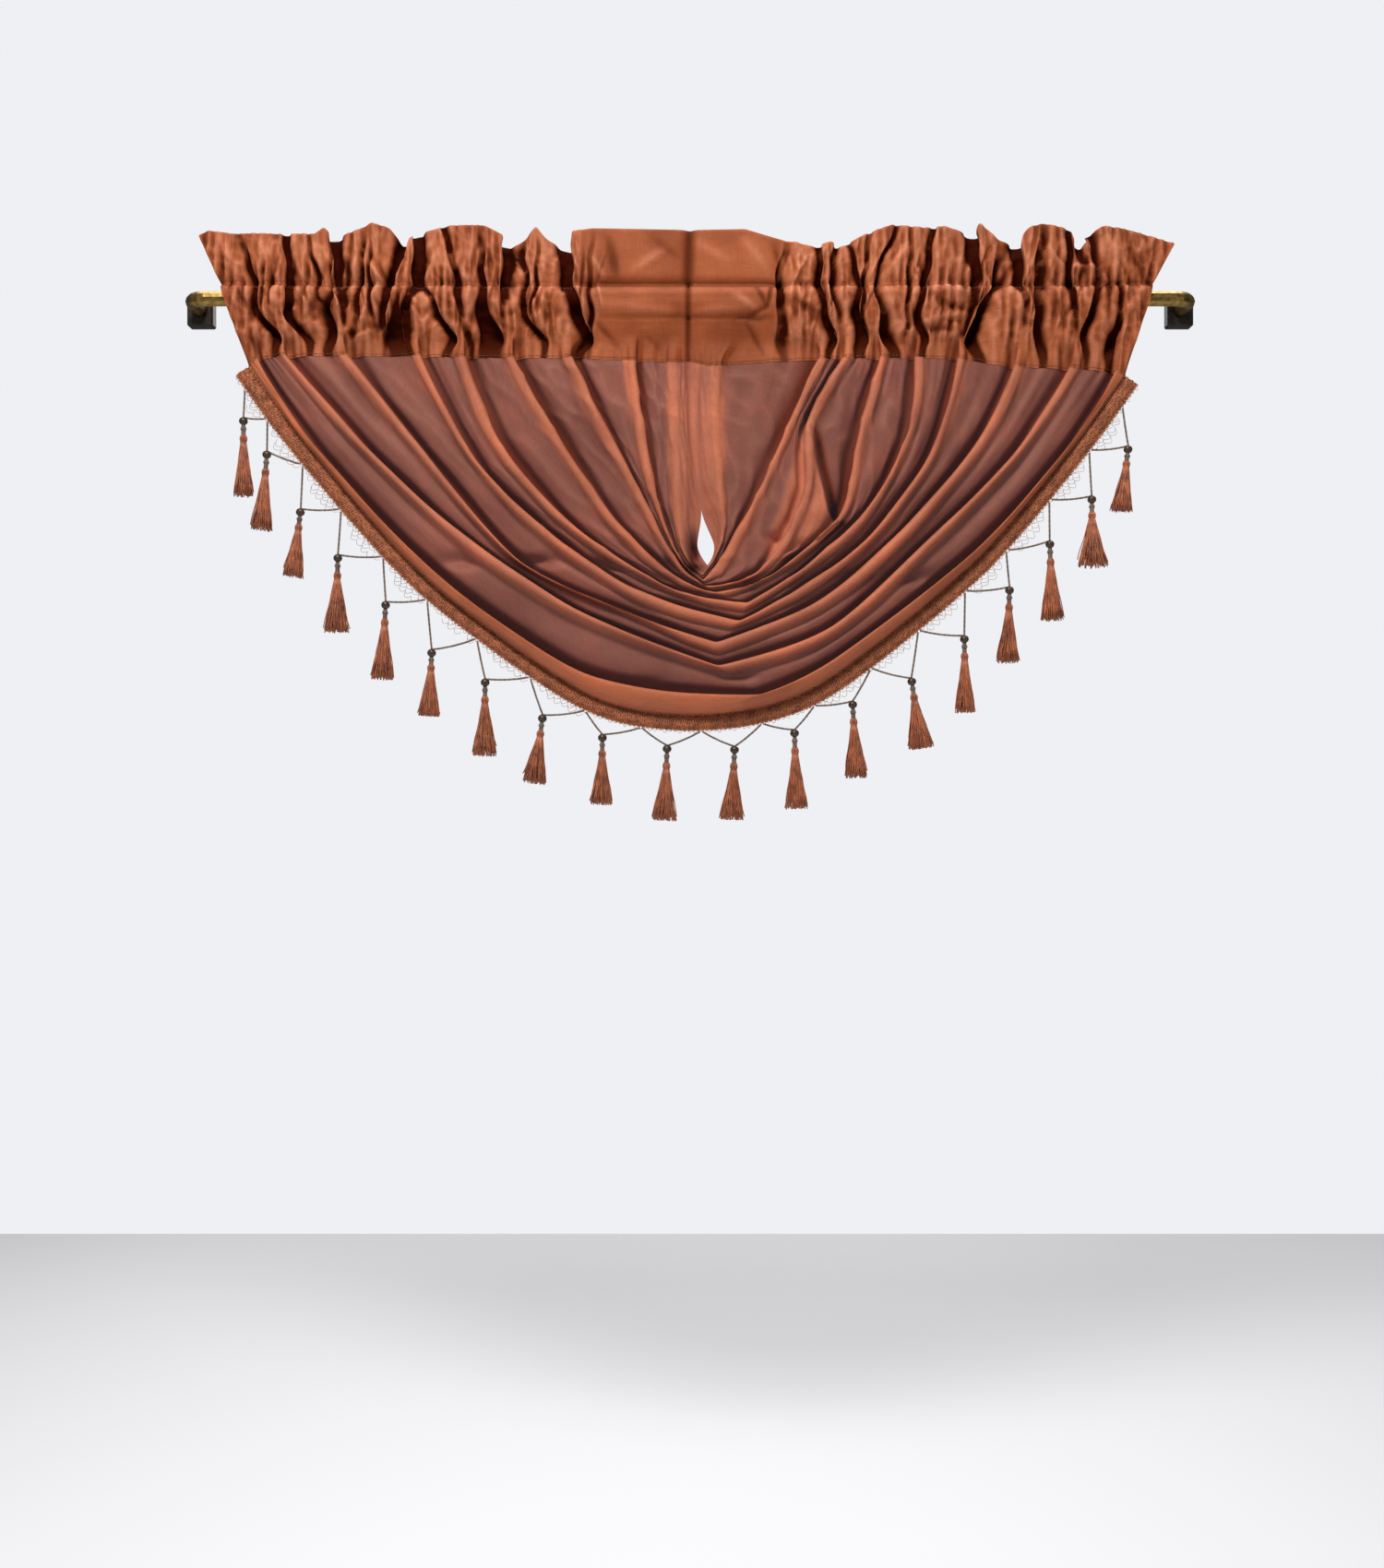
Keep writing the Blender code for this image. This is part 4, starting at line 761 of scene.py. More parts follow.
def taffeta(name, single):
    """Shot taffeta: crisp weave with slubs, a copper warp over a mauve weft. single is the one-ply cloth."""
    made, tree, shader = nodes_of(name)
    cut = node(tree, "ShaderNodeUVMap", uv_map="cut")
    stretch = node(tree, "ShaderNodeMapping")
    tree.links.new(cut.outputs[0], stretch.inputs[0])
    # slubs: short streaks along the weft
    slub_map = node(tree, "ShaderNodeMapping")
    slub_map.inputs["Scale"].default_value = (60, 900, 1)
    tree.links.new(cut.outputs[0], slub_map.inputs[0])
    slub = node(tree, "ShaderNodeTexNoise")
    slub.inputs["Scale"].default_value = 1.0
    slub.inputs["Detail"].default_value = 3.0
    tree.links.new(slub_map.outputs[0], slub.inputs["Vector"])
    warp_map = node(tree, "ShaderNodeMapping")
    warp_map.inputs["Scale"].default_value = (700, 45, 1)
    tree.links.new(cut.outputs[0], warp_map.inputs[0])
    warp = node(tree, "ShaderNodeTexNoise")
    warp.inputs["Scale"].default_value = 1.0
    warp.inputs["Detail"].default_value = 2.0
    tree.links.new(warp_map.outputs[0], warp.inputs["Vector"])
    # the weave itself
    threads = []
    for axis, pitch in (("X", 0.00062), ("Y", 0.00054)):
        wave = node(tree, "ShaderNodeTexWave", wave_type="BANDS", bands_direction=axis, wave_profile="SIN")
        wave.inputs["Scale"].default_value = 0.314 / pitch
        wave.inputs["Distortion"].default_value = 0.4
        wave.inputs["Detail"].default_value = 1.0
        tree.links.new(cut.outputs[0], wave.inputs["Vector"])
        threads.append(wave.outputs["Fac"])
    weave = maths(tree, "MAXIMUM", threads[0], threads[1])
    # broad uneven shade
    cloud = node(tree, "ShaderNodeTexNoise")
    cloud.inputs["Scale"].default_value = 14.0
    cloud.inputs["Detail"].default_value = 4.0
    place = node(tree, "ShaderNodeTexCoord")
    tree.links.new(place.outputs["Object"], cloud.inputs["Vector"])
    if single:
        # painted highlight: the ridges turn from MAUVE to SALMON where crest is high
        crest = node(tree, "ShaderNodeAttribute", attribute_name="crest")
        shade = mixed(tree, maths(tree, "MAXIMUM", crest.outputs["Fac"], 0.0, True), (*MAUVE, 1), (*SALMON, 1))
        patch = ramp(tree, cloud.outputs["Fac"], [(0.32, (0.80, 0.74, 0.72)), (0.50, (1.0, 1.0, 1.0)), (0.68, (1.30, 1.16, 1.06))])
        double = node(tree, "ShaderNodeAttribute", attribute_name="double")
        shade = mixed(tree, double.outputs["Fac"], shade, (0.500, 0.132, 0.046, 1))
        shade = mixed(tree, 0.85, shade, patch, "MULTIPLY")
        # painted shade in the swag's hollows, near black where crest falls below -1
        under = maths(tree, "MULTIPLY", crest.outputs["Fac"], -1.0, True)
        shade = mixed(tree, under, shade, (0.150, 0.026, 0.010, 1))
        deepest = maths(tree, "MULTIPLY_ADD", crest.outputs["Fac"], -1.0, True)
        deepest.node.inputs[2].default_value = -1.0
        shade = mixed(tree, deepest, shade, (0.026, 0.005, 0.003, 1))
        under_factor = under
    else:
        shade = ramp(tree, cloud.outputs["Fac"], [(0.30, RUST_DEEP), (0.52, RUST), (0.75, (0.430, 0.118, 0.040))])
        # painted highlight where hollow is below 0, painted shade where it is above
        under = node(tree, "ShaderNodeAttribute", attribute_name="hollow")
        light = maths(tree, "MULTIPLY", under.outputs["Fac"], -0.9, True)
        shade = mixed(tree, light, shade, (0.58, 0.205, 0.105, 1))
        under_factor = maths(tree, "MAXIMUM", under.outputs["Fac"], 0.0, True)
        shade = mixed(tree, under_factor, shade, (0.032, 0.0035, 0.001, 1))
    streak = ramp(tree, slub.outputs["Fac"], [(0.30, (0.84, 0.84, 0.86)), (0.52, (1.0, 1.0, 1.0)), (0.75, (1.16, 1.12, 1.08))])
    shade = mixed(tree, 0.8, shade, streak, "MULTIPLY")
    grain = ramp(tree, warp.outputs["Fac"], [(0.30, (0.90, 0.88, 0.90)), (0.6, (1.06, 1.05, 1.04))])
    shade = mixed(tree, 0.7, shade, grain, "MULTIPLY")
    cell = ramp(tree, weave, [(0.0, (0.86, 0.84, 0.84)), (1.0, (1.04, 1.04, 1.04))])
    shade = mixed(tree, 0.6, shade, cell, "MULTIPLY")
    tree.links.new(shade, shader.inputs["Base Color"])
    rough = maths(tree, "MULTIPLY_ADD", slub.outputs["Fac"], 0.16)
    rough.node.inputs[2].default_value = 0.40
    tree.links.new(rough, shader.inputs["Roughness"])
    shader.inputs["Sheen Weight"].default_value = 0.08 if single else 0.03
    shader.inputs["Sheen Roughness"].default_value = 0.35
    shader.inputs["Sheen Tint"].default_value = (1.0, 0.50, 0.34, 1)
    shader.inputs["Specular IOR Level"].default_value = 0.42 if single else 0.28
    shader.inputs["Specular Tint"].default_value = (1.0, 0.62, 0.48, 1)
    height = maths(tree, "ADD", maths(tree, "MULTIPLY", weave, 0.55), maths(tree, "MULTIPLY", slub.outputs["Fac"], 1.1))
    height = maths(tree, "ADD", height, maths(tree, "MULTIPLY", cloud.outputs["Fac"], 6.0))
    bump = node(tree, "ShaderNodeBump")
    bump.inputs["Strength"].default_value = 0.5
    bump.inputs["Distance"].default_value = 0.00022
    tree.links.new(height, bump.inputs["Height"])
    tree.links.new(bump.outputs[0], shader.inputs["Normal"])
    # thin cloth lets some light through
    through_ = node(tree, "ShaderNodeBsdfTranslucent")
    tree.links.new(mixed(tree, 1.0, shade, (1.25, 1.1, 1.05, 1), "MULTIPLY"), through_.inputs["Color"])
    matt = node(tree, "ShaderNodeBsdfDiffuse")
    tree.links.new(shade, matt.inputs["Color"])
    tree.links.new(bump.outputs[0], matt.inputs["Normal"])
    # in the painted shade the shine gives way to a matt diffuse, so that it stays dark
    face = node(tree, "ShaderNodeMixShader")
    tree.links.new(maths(tree, "MULTIPLY", under_factor, 0.95, True), face.inputs[0])
    tree.links.new(shader.outputs[0], face.inputs[1])
    tree.links.new(matt.outputs[0], face.inputs[2])
    mix = node(tree, "ShaderNodeMixShader")
    mix.inputs[0].default_value = 0.07 if single else 0.03
    tree.links.new(face.outputs[0], mix.inputs[1])
    tree.links.new(through_.outputs[0], mix.inputs[2])
    out = tree.nodes["Material Output"]
    last = mix.outputs[0]
    if single:
        clear = node(tree, "ShaderNodeBsdfTransparent")
        clear.inputs["Color"].default_value = (0.9, 0.82, 0.85, 1)
        open_ = node(tree, "ShaderNodeMixShader")
        holes = maths(tree, "MULTIPLY_ADD", weave, -0.012)
        holes.node.inputs[2].default_value = 0.020
        tree.links.new(holes, open_.inputs[0])
        tree.links.new(last, open_.inputs[1])
        tree.links.new(clear.outputs[0], open_.inputs[2])
        last = open_.outputs[0]
    tree.links.new(last, out.inputs["Surface"])
    return made


def yarn(name, dark, light, scale=(900, 900, 60), roughness=0.62, sheen=0.5):
    made, tree, shader = nodes_of(name)
    place = node(tree, "ShaderNodeTexCoord")
    stretch = node(tree, "ShaderNodeMapping")
    stretch.inputs["Scale"].default_value = scale
    tree.links.new(place.outputs["Object"], stretch.inputs[0])
    fibre = node(tree, "ShaderNodeTexNoise")
    fibre.inputs["Scale"].default_value = 1.0
    fibre.inputs["Detail"].default_value = 3.0
    tree.links.new(stretch.outputs[0], fibre.inputs["Vector"])
    cloud = node(tree, "ShaderNodeTexNoise")
    cloud.inputs["Scale"].default_value = 90.0
    tree.links.new(place.outputs["Object"], cloud.inputs["Vector"])
    both = maths(tree, "ADD", maths(tree, "MULTIPLY", fibre.outputs["Fac"], 0.55), maths(tree, "MULTIPLY", cloud.outputs["Fac"], 0.45))
    tree.links.new(ramp(tree, both, [(0.34, dark), (0.66, light)]), shader.inputs["Base Color"])
    rough = maths(tree, "MULTIPLY_ADD", fibre.outputs["Fac"], 0.2)
    rough.node.inputs[2].default_value = roughness - 0.1
    tree.links.new(rough, shader.inputs["Roughness"])
    shader.inputs["Sheen Weight"].default_value = sheen
    shader.inputs["Sheen Roughness"].default_value = 0.4
    shader.inputs["Sheen Tint"].default_value = (1.0, 0.75, 0.62, 1)
    bump = node(tree, "ShaderNodeBump")
    bump.inputs["Strength"].default_value = 0.6
    bump.inputs["Distance"].default_value = 0.0002
    tree.links.new(fibre.outputs["Fac"], bump.inputs["Height"])
    tree.links.new(bump.outputs[0], shader.inputs["Normal"])
    return made


def metal(name, dark, light, roughness, metallic, scale=220.0, brushed=(30, 900, 900)):
    made, tree, shader = nodes_of(name)
    place = node(tree, "ShaderNodeTexCoord")
    cloud = node(tree, "ShaderNodeTexNoise")
    cloud.inputs["Scale"].default_value = scale
    cloud.inputs["Detail"].default_value = 5.0
    tree.links.new(place.outputs["Object"], cloud.inputs["Vector"])
    line_map = node(tree, "ShaderNodeMapping")
    line_map.inputs["Scale"].default_value = brushed
    tree.links.new(place.outputs["Object"], line_map.inputs[0])
    line = node(tree, "ShaderNodeTexNoise")
    line.inputs["Scale"].default_value = 1.0
    line.inputs["Detail"].default_value = 2.0
    tree.links.new(line_map.outputs[0], line.inputs["Vector"])
    tree.links.new(ramp(tree, cloud.outputs["Fac"], [(0.35, dark), (0.65, light)]), shader.inputs["Base Color"])
    rough = maths(tree, "MULTIPLY_ADD", line.outputs["Fac"], 0.22)
    rough.node.inputs[2].default_value = roughness - 0.11
    tree.links.new(rough, shader.inputs["Roughness"])
    shader.inputs["Metallic"].default_value = metallic
    bump = node(tree, "ShaderNodeBump")
    bump.inputs["Strength"].default_value = 0.25
    bump.inputs["Distance"].default_value = 0.0001
    tree.links.new(line.outputs["Fac"], bump.inputs["Height"])
    tree.links.new(bump.outputs[0], shader.inputs["Normal"])
    return made


def plain(name, colour, roughness=0.9):
    made, tree, shader = nodes_of(name)
    shader.inputs["Base Color"].default_value = (*colour, 1)
    shader.inputs["Roughness"].default_value = roughness
    return made


CLOTH = taffeta("taffeta_one_ply", True)
HEAD_CLOTH = taffeta("taffeta_two_ply", False)
BRAID = yarn("gimp_yarn", (0.200, 0.052, 0.018), (0.52, 0.165, 0.062), sheen=0.15)
TASSEL = yarn("tassel_yarn", (0.130, 0.026, 0.009), (0.60, 0.180, 0.072), scale=(1100, 1100, 40), roughness=0.45, sheen=0.15)
CORD = yarn("cord_yarn", (0.100, 0.066, 0.048), (0.27, 0.190, 0.145), sheen=0.2)
LACE = yarn("lace_thread", (0.26, 0.140, 0.095), (0.52, 0.32, 0.23), sheen=0.2)
STITCH = yarn("stitch_thread", (0.16, 0.036, 0.012), (0.30, 0.080, 0.028), sheen=0.1)
BEAD = metal("bead_glaze", (0.030, 0.017, 0.010), (0.085, 0.050, 0.030), 0.30, 0.1, scale=500)
BRASS = metal("aged_brass", (0.17, 0.105, 0.028), (0.36, 0.235, 0.075), 0.36, 1.0)
DARK = metal("dark_bracket", (0.012, 0.009, 0.007), (0.030, 0.021, 0.014), 0.50, 0.6)


def give(made, finish, slot, *nodes):
    made.data.materials.clear()
    made.data.materials.append(finish)
    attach(made, "root")
    if nodes:
        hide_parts(*nodes)
    return made


# ----------------------------------------------------------------------------- camera first
camera_data = bpy.data.cameras.new("front_camera")
camera_data.lens = 40.0
camera_data.sensor_width = 36.0
camera = bpy.data.objects.new("front_camera", camera_data)
camera.location = (0.0018, -1.765, -0.477)
camera.rotation_euler = (math.pi / 2, 0, 0)
bpy.context.scene.collection.objects.link(camera)
bpy.context.scene.camera = camera

# ----------------------------------------------------------------------------- cloth pieces
weld = []
for c in range(SLIT + 1):
    weld.append(((ROW_COUNT - 1) * COLUMN_COUNT + COLUMN_COUNT - 1 - c, (ROW_COUNT - 1) * COLUMN_COUNT + c))
swag = new_object("swag_body", grid_mesh("swag_body", SHEET, lengths_uv(SHEET), [("crest", SWAG_PAINTED_SHADING), ("double", DOUBLE)], weld))
give(swag, CLOTH, "cloth", "swag_cloth")
HEADING, HEADING_PAINTED_SHADING = build_heading()
heading = new_object("swag_heading", grid_mesh("swag_heading", HEADING, lengths_uv(HEADING), [("hollow", HEADING_PAINTED_SHADING)]))
give(heading, HEAD_CLOTH, "cloth", "swag_cloth")

# ----------------------------------------------------------------------------- the two rows of stitches
def build_stitches():
    paths, radii = [], []
    for row, pitch in ((33, 0.0034), (32, 0.0034), (1, 0.0038)):
        line = HEADING[row] - np.array([0, 0.00025, 0])
        run = np.concatenate([[0], np.cumsum(np.linalg.norm(np.diff(line, axis=0), axis=1))])
        f = np.linspace(0, 1, 4)
        for start in np.arange(0.002, run[-1] - pitch, pitch):
            at = start + pitch * 0.68 * f
            path = np.stack([np.interp(at, run, line[:, i]) for i in range(3)], axis=-1)
            paths.append(path + np.array([0, -1.0, 0]) * (0.00015 * np.sin(math.pi * f))[:, None])
            radii.append(0.00022)
    return tubes_mesh("seam_stitches", paths, radii, sides=4)


stitches = new_object("seam_stitches", build_stitches())
give(stitches, STITCH, "cloth")

# ----------------------------------------------------------------------------- braid
EDGE = SHEET[0]
RUN = unit(np.gradient(EDGE, axis=0))
OUTWARD = unit(np.stack([-RUN[:, 2], np.full(len(RUN), 0.10), RUN[:, 0]], axis=-1))
OUTWARD = OUTWARD * np.where(OUTWARD[:, 2:3] > 0, -1, 1)
for _ in range(3):
    OUTWARD[1:-1] = unit(0.25 * OUTWARD[:-2] + 0.5 * OUTWARD[1:-1] + 0.25 * OUTWARD[2:])
FACE = unit(np.cross(RUN, OUTWARD))
FACE = FACE * np.where(FACE[:, 1:2] > 0, -1, 1)
LENGTH = np.concatenate([[0], np.cumsum(np.linalg.norm(np.diff(EDGE, axis=0), axis=1))])


def along_hem(length, out, high):
    """Point at a length along the hem, out beyond the cloth's edge and high off its face."""
    place = np.stack([np.interp(length, LENGTH, EDGE[:, i]) for i in range(3)], axis=-1)
    o = unit(np.stack([np.interp(length, LENGTH, OUTWARD[:, i]) for i in range(3)], axis=-1))
    f = unit(np.stack([np.interp(length, LENGTH, FACE[:, i]) for i in range(3)], axis=-1))
    return place + o * np.asarray(out)[..., None] + f * np.asarray(high)[..., None]


def build_braid():
    total = LENGTH[-1]
    pitch = 0.0085
    n = int(total / pitch * 8)
    t = np.linspace(0.001, total - 0.001, n)
    phase = t / pitch * math.tau
    paths, radii = [], []
    for i, shift in enumerate((0.0, math.tau / 4, math.tau / 2, 3 * math.tau / 4)):
        wobble = 0.25 * np.sin(t * 160 + i) + 0.15 * np.sin(t * 431 + 2 * i)
        for ply in (-1, 1):  # each strand is two yarns side by side
            out = 0.0079 + 0.0062 * np.sin(phase + shift + wobble) + 0.0006 * ply * np.cos(phase * 3 + i)
            high = 0.0010 * np.cos(2 * (phase + shift)) + 0.0003 + 0.0005 * ply * np.sin(phase * 3 + i)
            paths.append(along_hem(t, out, high))
            radii.append(0.00080)
    # the close tape that the plait is worked on
    few = np.linspace(0.001, total - 0.001, int(total / 0.0034))
    for k in range(11):
        paths.append(along_hem(few, 0.0005 + 0.00142 * k + 0.0001 * np.sin(few * 700 + k), -0.0004 + 0.0002 * np.sin(few * 1900 + 2.4 * k)))
        radii.append(0.00074)
    # a looped cord along each edge; the upper one lies on the cloth's edge
    for out0, r, off in ((0.0002, 0.00085, 0.0012), (0.0153, 0.00070, 0.0)):
        out = out0 + 0.0006 * np.sin(phase * 2 + out0 * 900 + 0.4 * np.sin(t * 97))
        paths.append(along_hem(t, out, off + 0.0005 * np.cos(phase * 2)))
        radii.append(r)
    # loose fibres that stand out of the yarns
    loose = np.random.default_rng(3)
    f = np.linspace(0, 1, 3)
    for _ in range(2700):
        at, out, turn = loose.uniform(0.002, total - 0.002), loose.uniform(0.0, 0.0160), loose.uniform(-1, 1)
        long, high = loose.uniform(0.0018, 0.0040), loose.uniform(0.0008, 0.0018)
        paths.append(along_hem(at + long * turn * f, out + long * (1 - abs(turn)) * (f - 0.3), 0.0004 + high * np.sin(math.pi * (0.1 + 0.7 * f))))
        radii.append(0.00015)
    return tubes_mesh("hem_gimp", paths, radii, sides=4)


braid = new_object("hem_gimp", build_braid())
give(braid, BRAID, "braid", "hem_braid")

# ----------------------------------------------------------------------------- fringe
rim = along_hem(LENGTH, np.full(len(LENGTH), BRAID_WIDTH + 0.0019), np.zeros(len(LENGTH)))
order = np.argsort(rim[:, 0])


def on_rim(x):
    return np.array([np.interp(x, rim[order, 0], rim[order, i]) for i in range(3)])


def twisted(path, radius, lay=0.0034, plies=2):
    """The plies of a cord along a path."""
    path = np.asarray(path)
    run = np.concatenate([[0], np.cumsum(np.linalg.norm(np.diff(path, axis=0), axis=1))])
    n = max(int(run[-1] / lay * 6), 8)
    t = np.linspace(0, run[-1], n)
    centre = np.stack([np.interp(t, run, path[:, i]) for i in range(3)], axis=-1)
    ahead = unit(np.gradient(centre, axis=0))
    side = unit(np.cross(ahead, np.array([0.0, 1.0, 0.0])))
    other = np.cross(ahead, side)
    out = []
    for p in range(plies):
        turn = t / lay * math.tau + p / plies * math.tau
        out.append(centre + radius * 0.5 * (np.cos(turn)[:, None] * side + np.sin(turn)[:, None] * other))
    return out


cord_paths, cord_radii, tassel_objects, bead_points = [], [], [], []
CORD_RADIUS = 0.0010
rng = np.random.default_rng(11)
bead_meshes = []


def arm_path(tip, top, sag):
    f = np.linspace(0, 1, 16)[:, None]
    path = tip + (top - tip) * f
    drop = sag * np.linalg.norm(top - tip) * 4 * f * (1 - f)
    return path + np.array([0, 0, -1.0]) * drop


for i, row in enumerate(table(TASSEL_COLUMNS, TASSELS)):
    start, end = on_rim(ATTACH_X[i] * GRID + 0.0012), on_rim(ATTACH_X[i + 1] * GRID - 0.0012)
    y = (start[1] + end[1]) / 2
    bead = np.array([row["bead_x"] * GRID, y, -row["bead_d"] * GRID])
    foot = np.array([row["foot_x"] * GRID, y, -row["foot_d"] * GRID])
    drop = np.linalg.norm(foot - bead)
    down = (foot - bead) / drop
    side = unit(np.cross(down, np.array([0.0, 1.0, 0.0])))
    other = np.cross(down, side)
    ball = BEAD_DIAMETER / 2
    top = bead - down * ball * 0.8
    for tip in (start, end):
        for path in twisted(arm_path(tip, top, 0.035), CORD_RADIUS):
            cord_paths.append(path)
            cord_radii.append(0.00066)
    # neck: the two cords come out of the bead and run down into the tassel's head
    neck_foot = bead + down * drop * 0.36
    for path in twisted(np.linspace(bead + down * ball * 0.7, neck_foot, 12), 0.0012, lay=0.0042):
        cord_paths.append(path)
        cord_radii.append(0.00075)

    # the neck is wound with thread, with a small knot half way
    long = 0.20 * drop - ball * 0.9
    turns = int(long / 0.00115)
    t = np.linspace(0, 1, turns * 9)
    around = t * turns * math.tau
    wound = 0.0015 + 0.0010 * np.exp(-(((t - 0.35) / 0.14) ** 2)) + 0.0004 * t
    cord_paths.append(
        bead + down * (ball * 0.9 + long * t)[:, None]
        + side * (np.cos(around) * wound)[:, None] + other * (np.sin(around) * wound)[:, None]
    )
    cord_radii.append(0.00068)

    # head of the tassel: yarns bound with a few turns of thread
    def at(r, a, f, wob=0.0):
        return bead + down * drop * f + (side * math.cos(a) + other * math.sin(a)) * r

    paths, radii = [], []
    radius = row["skirt"] * GRID / 2
    skirt_top = 0.265
    count = 150
    for j in range(count):
        a = j * 2.39996 + rng.uniform(-0.1, 0.1)
        share = math.sqrt((j + 0.5) / count)
        foot_r = radius * share * rng.uniform(0.90, 1.06)
        length = rng.uniform(0.955, 1.03) if rng.random() > 0.06 else rng.uniform(0.85, 0.95)
        bend = rng.uniform(-0.10, 0.10)
        f = np.linspace(0, 1, 8)
        # close at the head, bellying and then falling straight
        r = 0.0014 + 0.0010 * share + (foot_r - 0.0024 * share) * (0.20 * f**0.6 + 0.80 * f**1.25)
        angle = a + bend * f + 0.05 * np.sin(f * 9 + j)
        fall = skirt_top + (length - skirt_top) * f
        wave = 0.0004 * np.sin(f * 11 + j * 1.7) * f
        path = (
            bead
            + down * (drop * fall)[:, None]
            + side * (np.cos(angle) * (r + wave))[:, None]
            + other * (np.sin(angle) * (r + wave))[:, None]
        )
        paths.append(path)
        radii.append(np.linspace(0.00052, 0.00046, 8))
    # a rounded head of yarn above the binding, and the binding itself
    for j in range(14):
        a = j / 14 * math.tau
        f = np.linspace(0, 1, 7)
        r = 0.0008 + 0.0024 * np.sin(math.pi * (0.15 + 0.75 * f)) ** 0.8
        path = bead + down * (drop * (0.195 + 0.105 * f))[:, None] + side * (np.cos(a) * r)[:, None] + other * (np.sin(a) * r)[:, None]
        paths.append(path)
        radii.append(0.00062)
    for j in range(3):
        a = np.linspace(0, math.tau, 15)
        r = 0.0027
        path = bead + down * (drop * (0.278 + 0.013 * j)) + side * (np.cos(a) * r)[:, None] + other * (np.sin(a) * r)[:, None]
        path = path + down * (drop * 0.013 * a / math.tau)[:, None]
        paths.append(path)
        radii.append(0.00055)
    made = new_object(f"tassel_skirt_{i + 1:02d}", tubes_mesh(f"tassel_skirt_{i + 1:02d}", paths, radii, sides=4))
    give(made, TASSEL, "tassel", f"tassel_{i + 1:02d}")
    tassel_objects.append(made)

    # bead, a little oval, with a bored end
    profile = [(0.0010, 0.92), (0.42, 0.90), (0.74, 0.68), (0.95, 0.34), (1.0, 0.0), (0.95, -0.34), (0.74, -0.68), (0.42, -0.90), (0.0010, -0.92)]
    n = 18
    pts = turned_points([(max(r, 0.001) * ball * 1.02, z * ball * 0.95) for r, z in profile], n)
    world = bead + pts[..., 0:1] * side + pts[..., 1:2] * other + pts[..., 2:3] * -down
    bead_meshes.append(world)

cords = new_object("fringe_cords", tubes_mesh("fringe_cords", cord_paths, cord_radii, sides=4))
give(cords, CORD, "tassel")


def build_beads():
    points, faces, start = [], [], 0
    for world in bead_meshes:
        rings, n = world.shape[:2]
        points.append(world.reshape(-1, 3))
        for r in range(rings - 1):
            for k in range(n):
                j = (k + 1) % n
                faces.append([start + r * n + k, start + (r + 1) * n + k, start + (r + 1) * n + j, start + r * n + j])
        faces.append([start + k for k in range(n)])
        faces.append([start + (rings - 1) * n + k for k in range(n)][::-1])
        start += rings * n
    mesh = bpy.data.meshes.new("fringe_beads")
    mesh.from_pydata(np.concatenate(points).tolist(), [], faces)
    shaped = bmesh.new()
    shaped.from_mesh(mesh)
    bmesh.ops.recalc_face_normals(shaped, faces=shaped.faces)
    shaped.to_mesh(mesh)
    shaped.free()
    mesh.shade_smooth()
    return mesh


beads = new_object("fringe_beads", build_beads())
give(beads, BEAD, "tassel")

# ----------------------------------------------------------------------------- picots and lace on the braid
def build_lace():
    paths, radii = [], []
    f = np.linspace(0, 1, 8)
    pitch = 0.0046
    for k in range(int((LENGTH[-1] - 0.004) / pitch)):
        a = 0.002 + k * pitch
        drop = 0.0030 + 0.0010 * math.sin(k * 2.3)
        paths.append(along_hem(a + pitch * 1.15 * f, 0.0146 + drop * np.sin(math.pi * f), 0.0005 * np.cos(math.pi * f)))
        radii.append(0.00028)
    uneven = np.random.default_rng(17)
    at = [np.interp(x * GRID, rim[order, 0], LENGTH[order]) for x in ATTACH_X]
    for i in range(len(at) - 1):
        a, b = sorted((at[i], at[i + 1]))
        run = on_rim(ATTACH_X[i + 1] * GRID) - on_rim(ATTACH_X[i] * GRID)
        steep = abs(run[2]) / np.linalg.norm(run)
        lines = int(round((steep - 0.25) * 6))
        low_first = run[2] < 0  # the cord's flat arm is at the lower end
        for r in range(max(lines, 0)):
            head, tail = (0.20 + 0.10 * r, 0.04 + 0.03 * r)
            if (at[i] < at[i + 1]) != low_first:
                head, tail = tail, head
            start, end = a + (b - a) * head, b - (b - a) * tail
            count = max(int((end - start) / 0.0072), 2)
            wide = (end - start) / count
            for k in range(count):
                if uneven.random() < 0.12:
                    continue
                base = 0.0164 + 0.0032 * r + uneven.uniform(-0.0005, 0.0005)
                drop = 0.0040 + 0.0008 * math.sin(k * 1.9 + i)
                where = start + wide * (k + 0.5 * (r % 2) + f * 1.0)
                paths.append(along_hem(np.minimum(where, b), base + drop * np.sin(math.pi * f), 0.0004 * np.cos(math.pi * f)))
                radii.append(0.00024)
    return tubes_mesh("hem_lace", paths, radii, sides=3)


lace = new_object("hem_lace", build_lace())
give(lace, LACE, "braid")

# ----------------------------------------------------------------------------- rod and brackets keep their solids
for name, finish in (("rod", BRASS), ("bracket_left", DARK), ("bracket_right", DARK)):
    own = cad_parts[name]
    own.data.materials.clear()
    own.data.materials.append(finish)

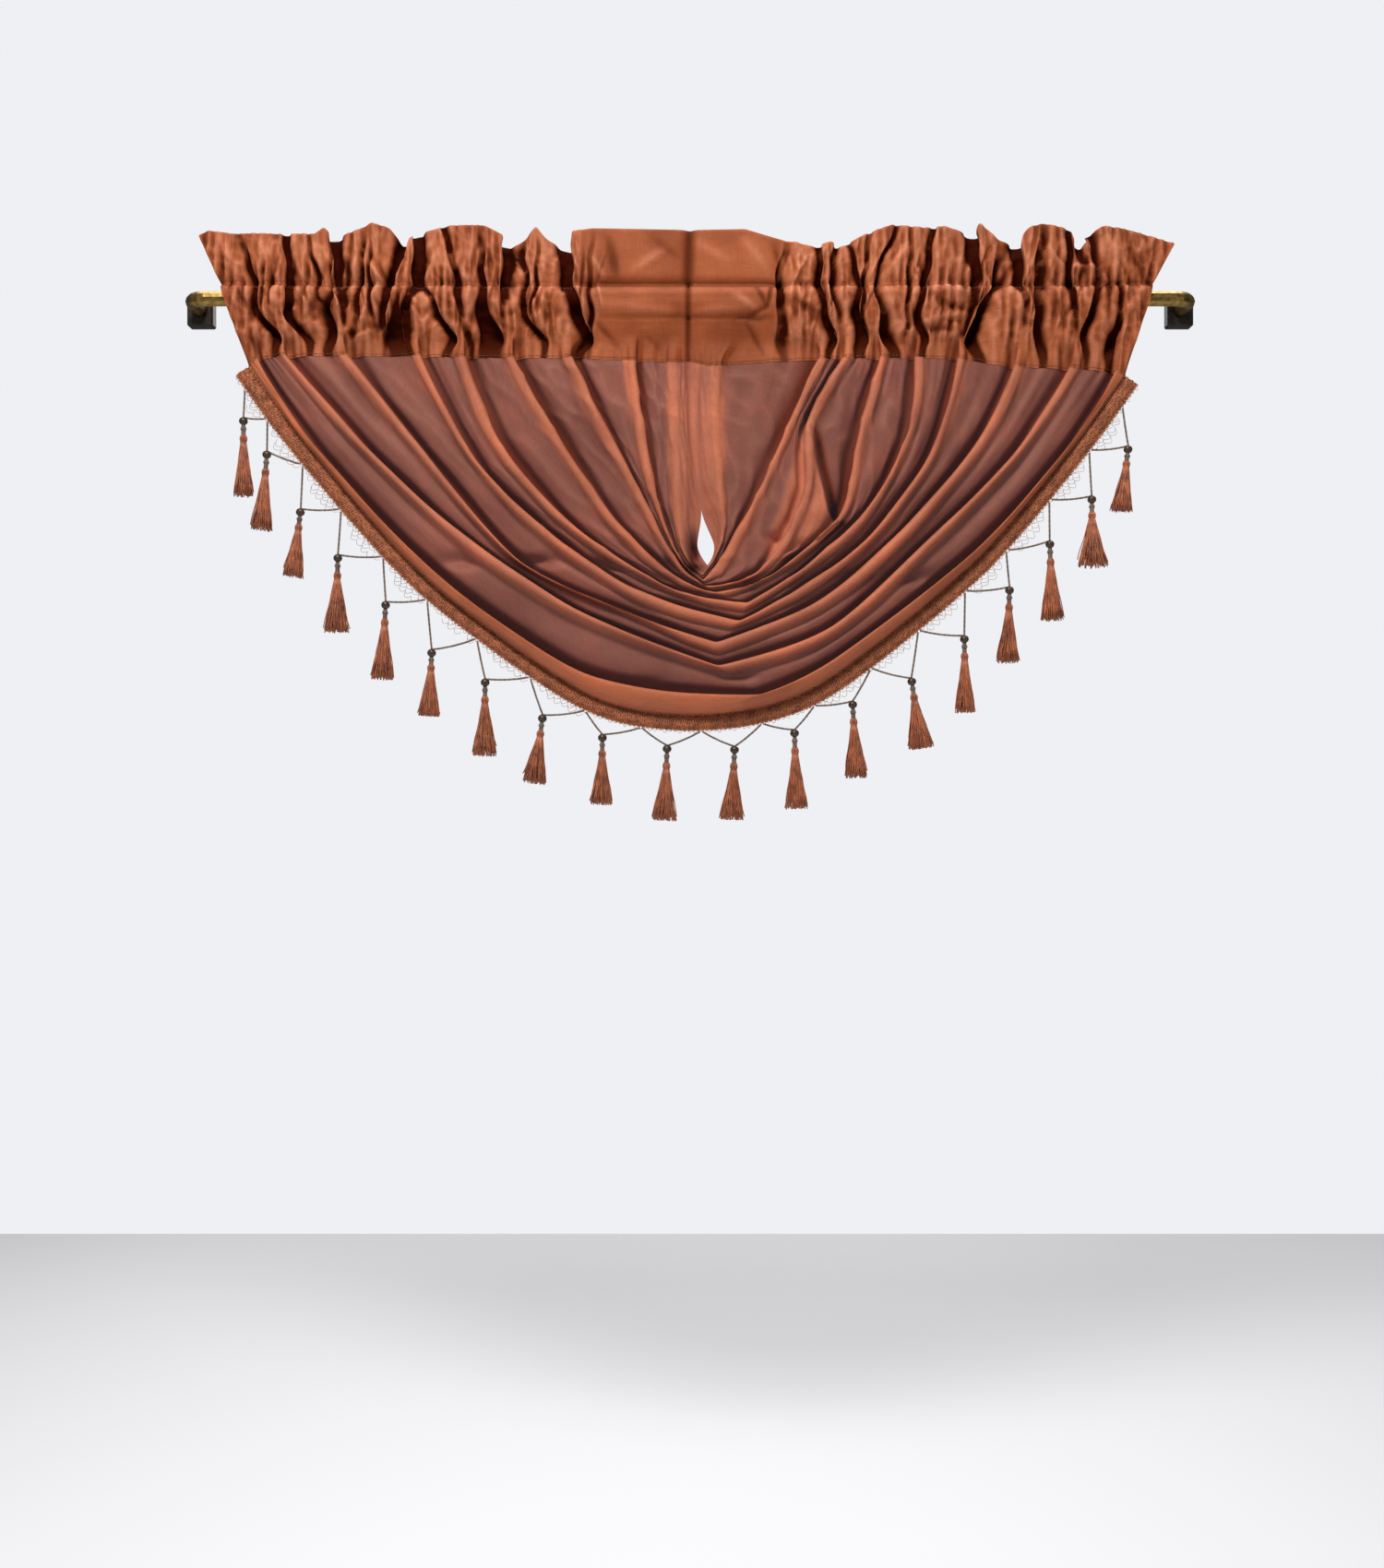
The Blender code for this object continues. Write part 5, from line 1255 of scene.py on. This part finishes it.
# ----------------------------------------------------------------------------- stage and light
def build_floor():
    return grid_mesh("studio_floor", np.array([[(x, y, -1.32) for x in (-2.6, 2.6)] for y in (-2.6, 1.5)]))


floor = new_object("studio_floor", build_floor())
floor.data.materials.append(plain("studio_paper", (0.88, 0.88, 0.90)))


def area_light(name, place, aim, size, power, colour=(1, 1, 1)):
    data = bpy.data.lights.new(name, "AREA")
    data.shape = "RECTANGLE"
    data.size, data.size_y = size
    data.energy = power
    data.color = colour
    made = bpy.data.objects.new(name, data)
    made.location = place
    made.rotation_euler = (Vector(aim) - Vector(place)).to_track_quat("-Z", "Y").to_euler()
    made.visible_camera = False
    bpy.context.scene.collection.objects.link(made)


area_light("key", (-0.30, -1.45, 1.30), (0, -0.05, -0.2), (0.7, 0.45), 44, (1.0, 0.98, 0.95))
area_light("fill", (1.5, -1.9, 0.1), (0, -0.05, -0.2), (1.0, 1.2), 4, (0.95, 0.97, 1.0))
area_light("fill_left", (-1.6, -1.8, 0.1), (0, -0.05, -0.2), (1.0, 1.2), 5, (0.97, 0.98, 1.0))
area_light("back", (0.0, 0.15, 1.3), (0, 1.1, -1.3), (2.6, 0.5), 36)
area_light("behind", (0.4, 1.9, 0.7), (0, -0.05, -0.2), (1.4, 0.9), 14, (0.98, 0.98, 1.0))
world = bpy.data.worlds.new("studio")
bpy.context.scene.world = world
world.use_nodes = True
soft = world.node_tree.nodes["Background"]
soft.inputs[0].default_value = (0.95, 0.97, 1.0, 1)
soft.inputs[1].default_value = 0.14
# the camera sees a pale backdrop all round, brighter than the light that it gives
pale = node(world.node_tree, "ShaderNodeBackground")
pale.inputs[0].default_value = (0.86, 0.87, 0.90, 1)
seen = node(world.node_tree, "ShaderNodeLightPath")
both = node(world.node_tree, "ShaderNodeMixShader")
world.node_tree.links.new(seen.outputs["Is Camera Ray"], both.inputs[0])
world.node_tree.links.new(soft.outputs[0], both.inputs[1])
world.node_tree.links.new(pale.outputs[0], both.inputs[2])
world.node_tree.links.new(both.outputs[0], world.node_tree.nodes["World Output"].inputs["Surface"])
bpy.context.scene.view_settings.view_transform = "Standard"
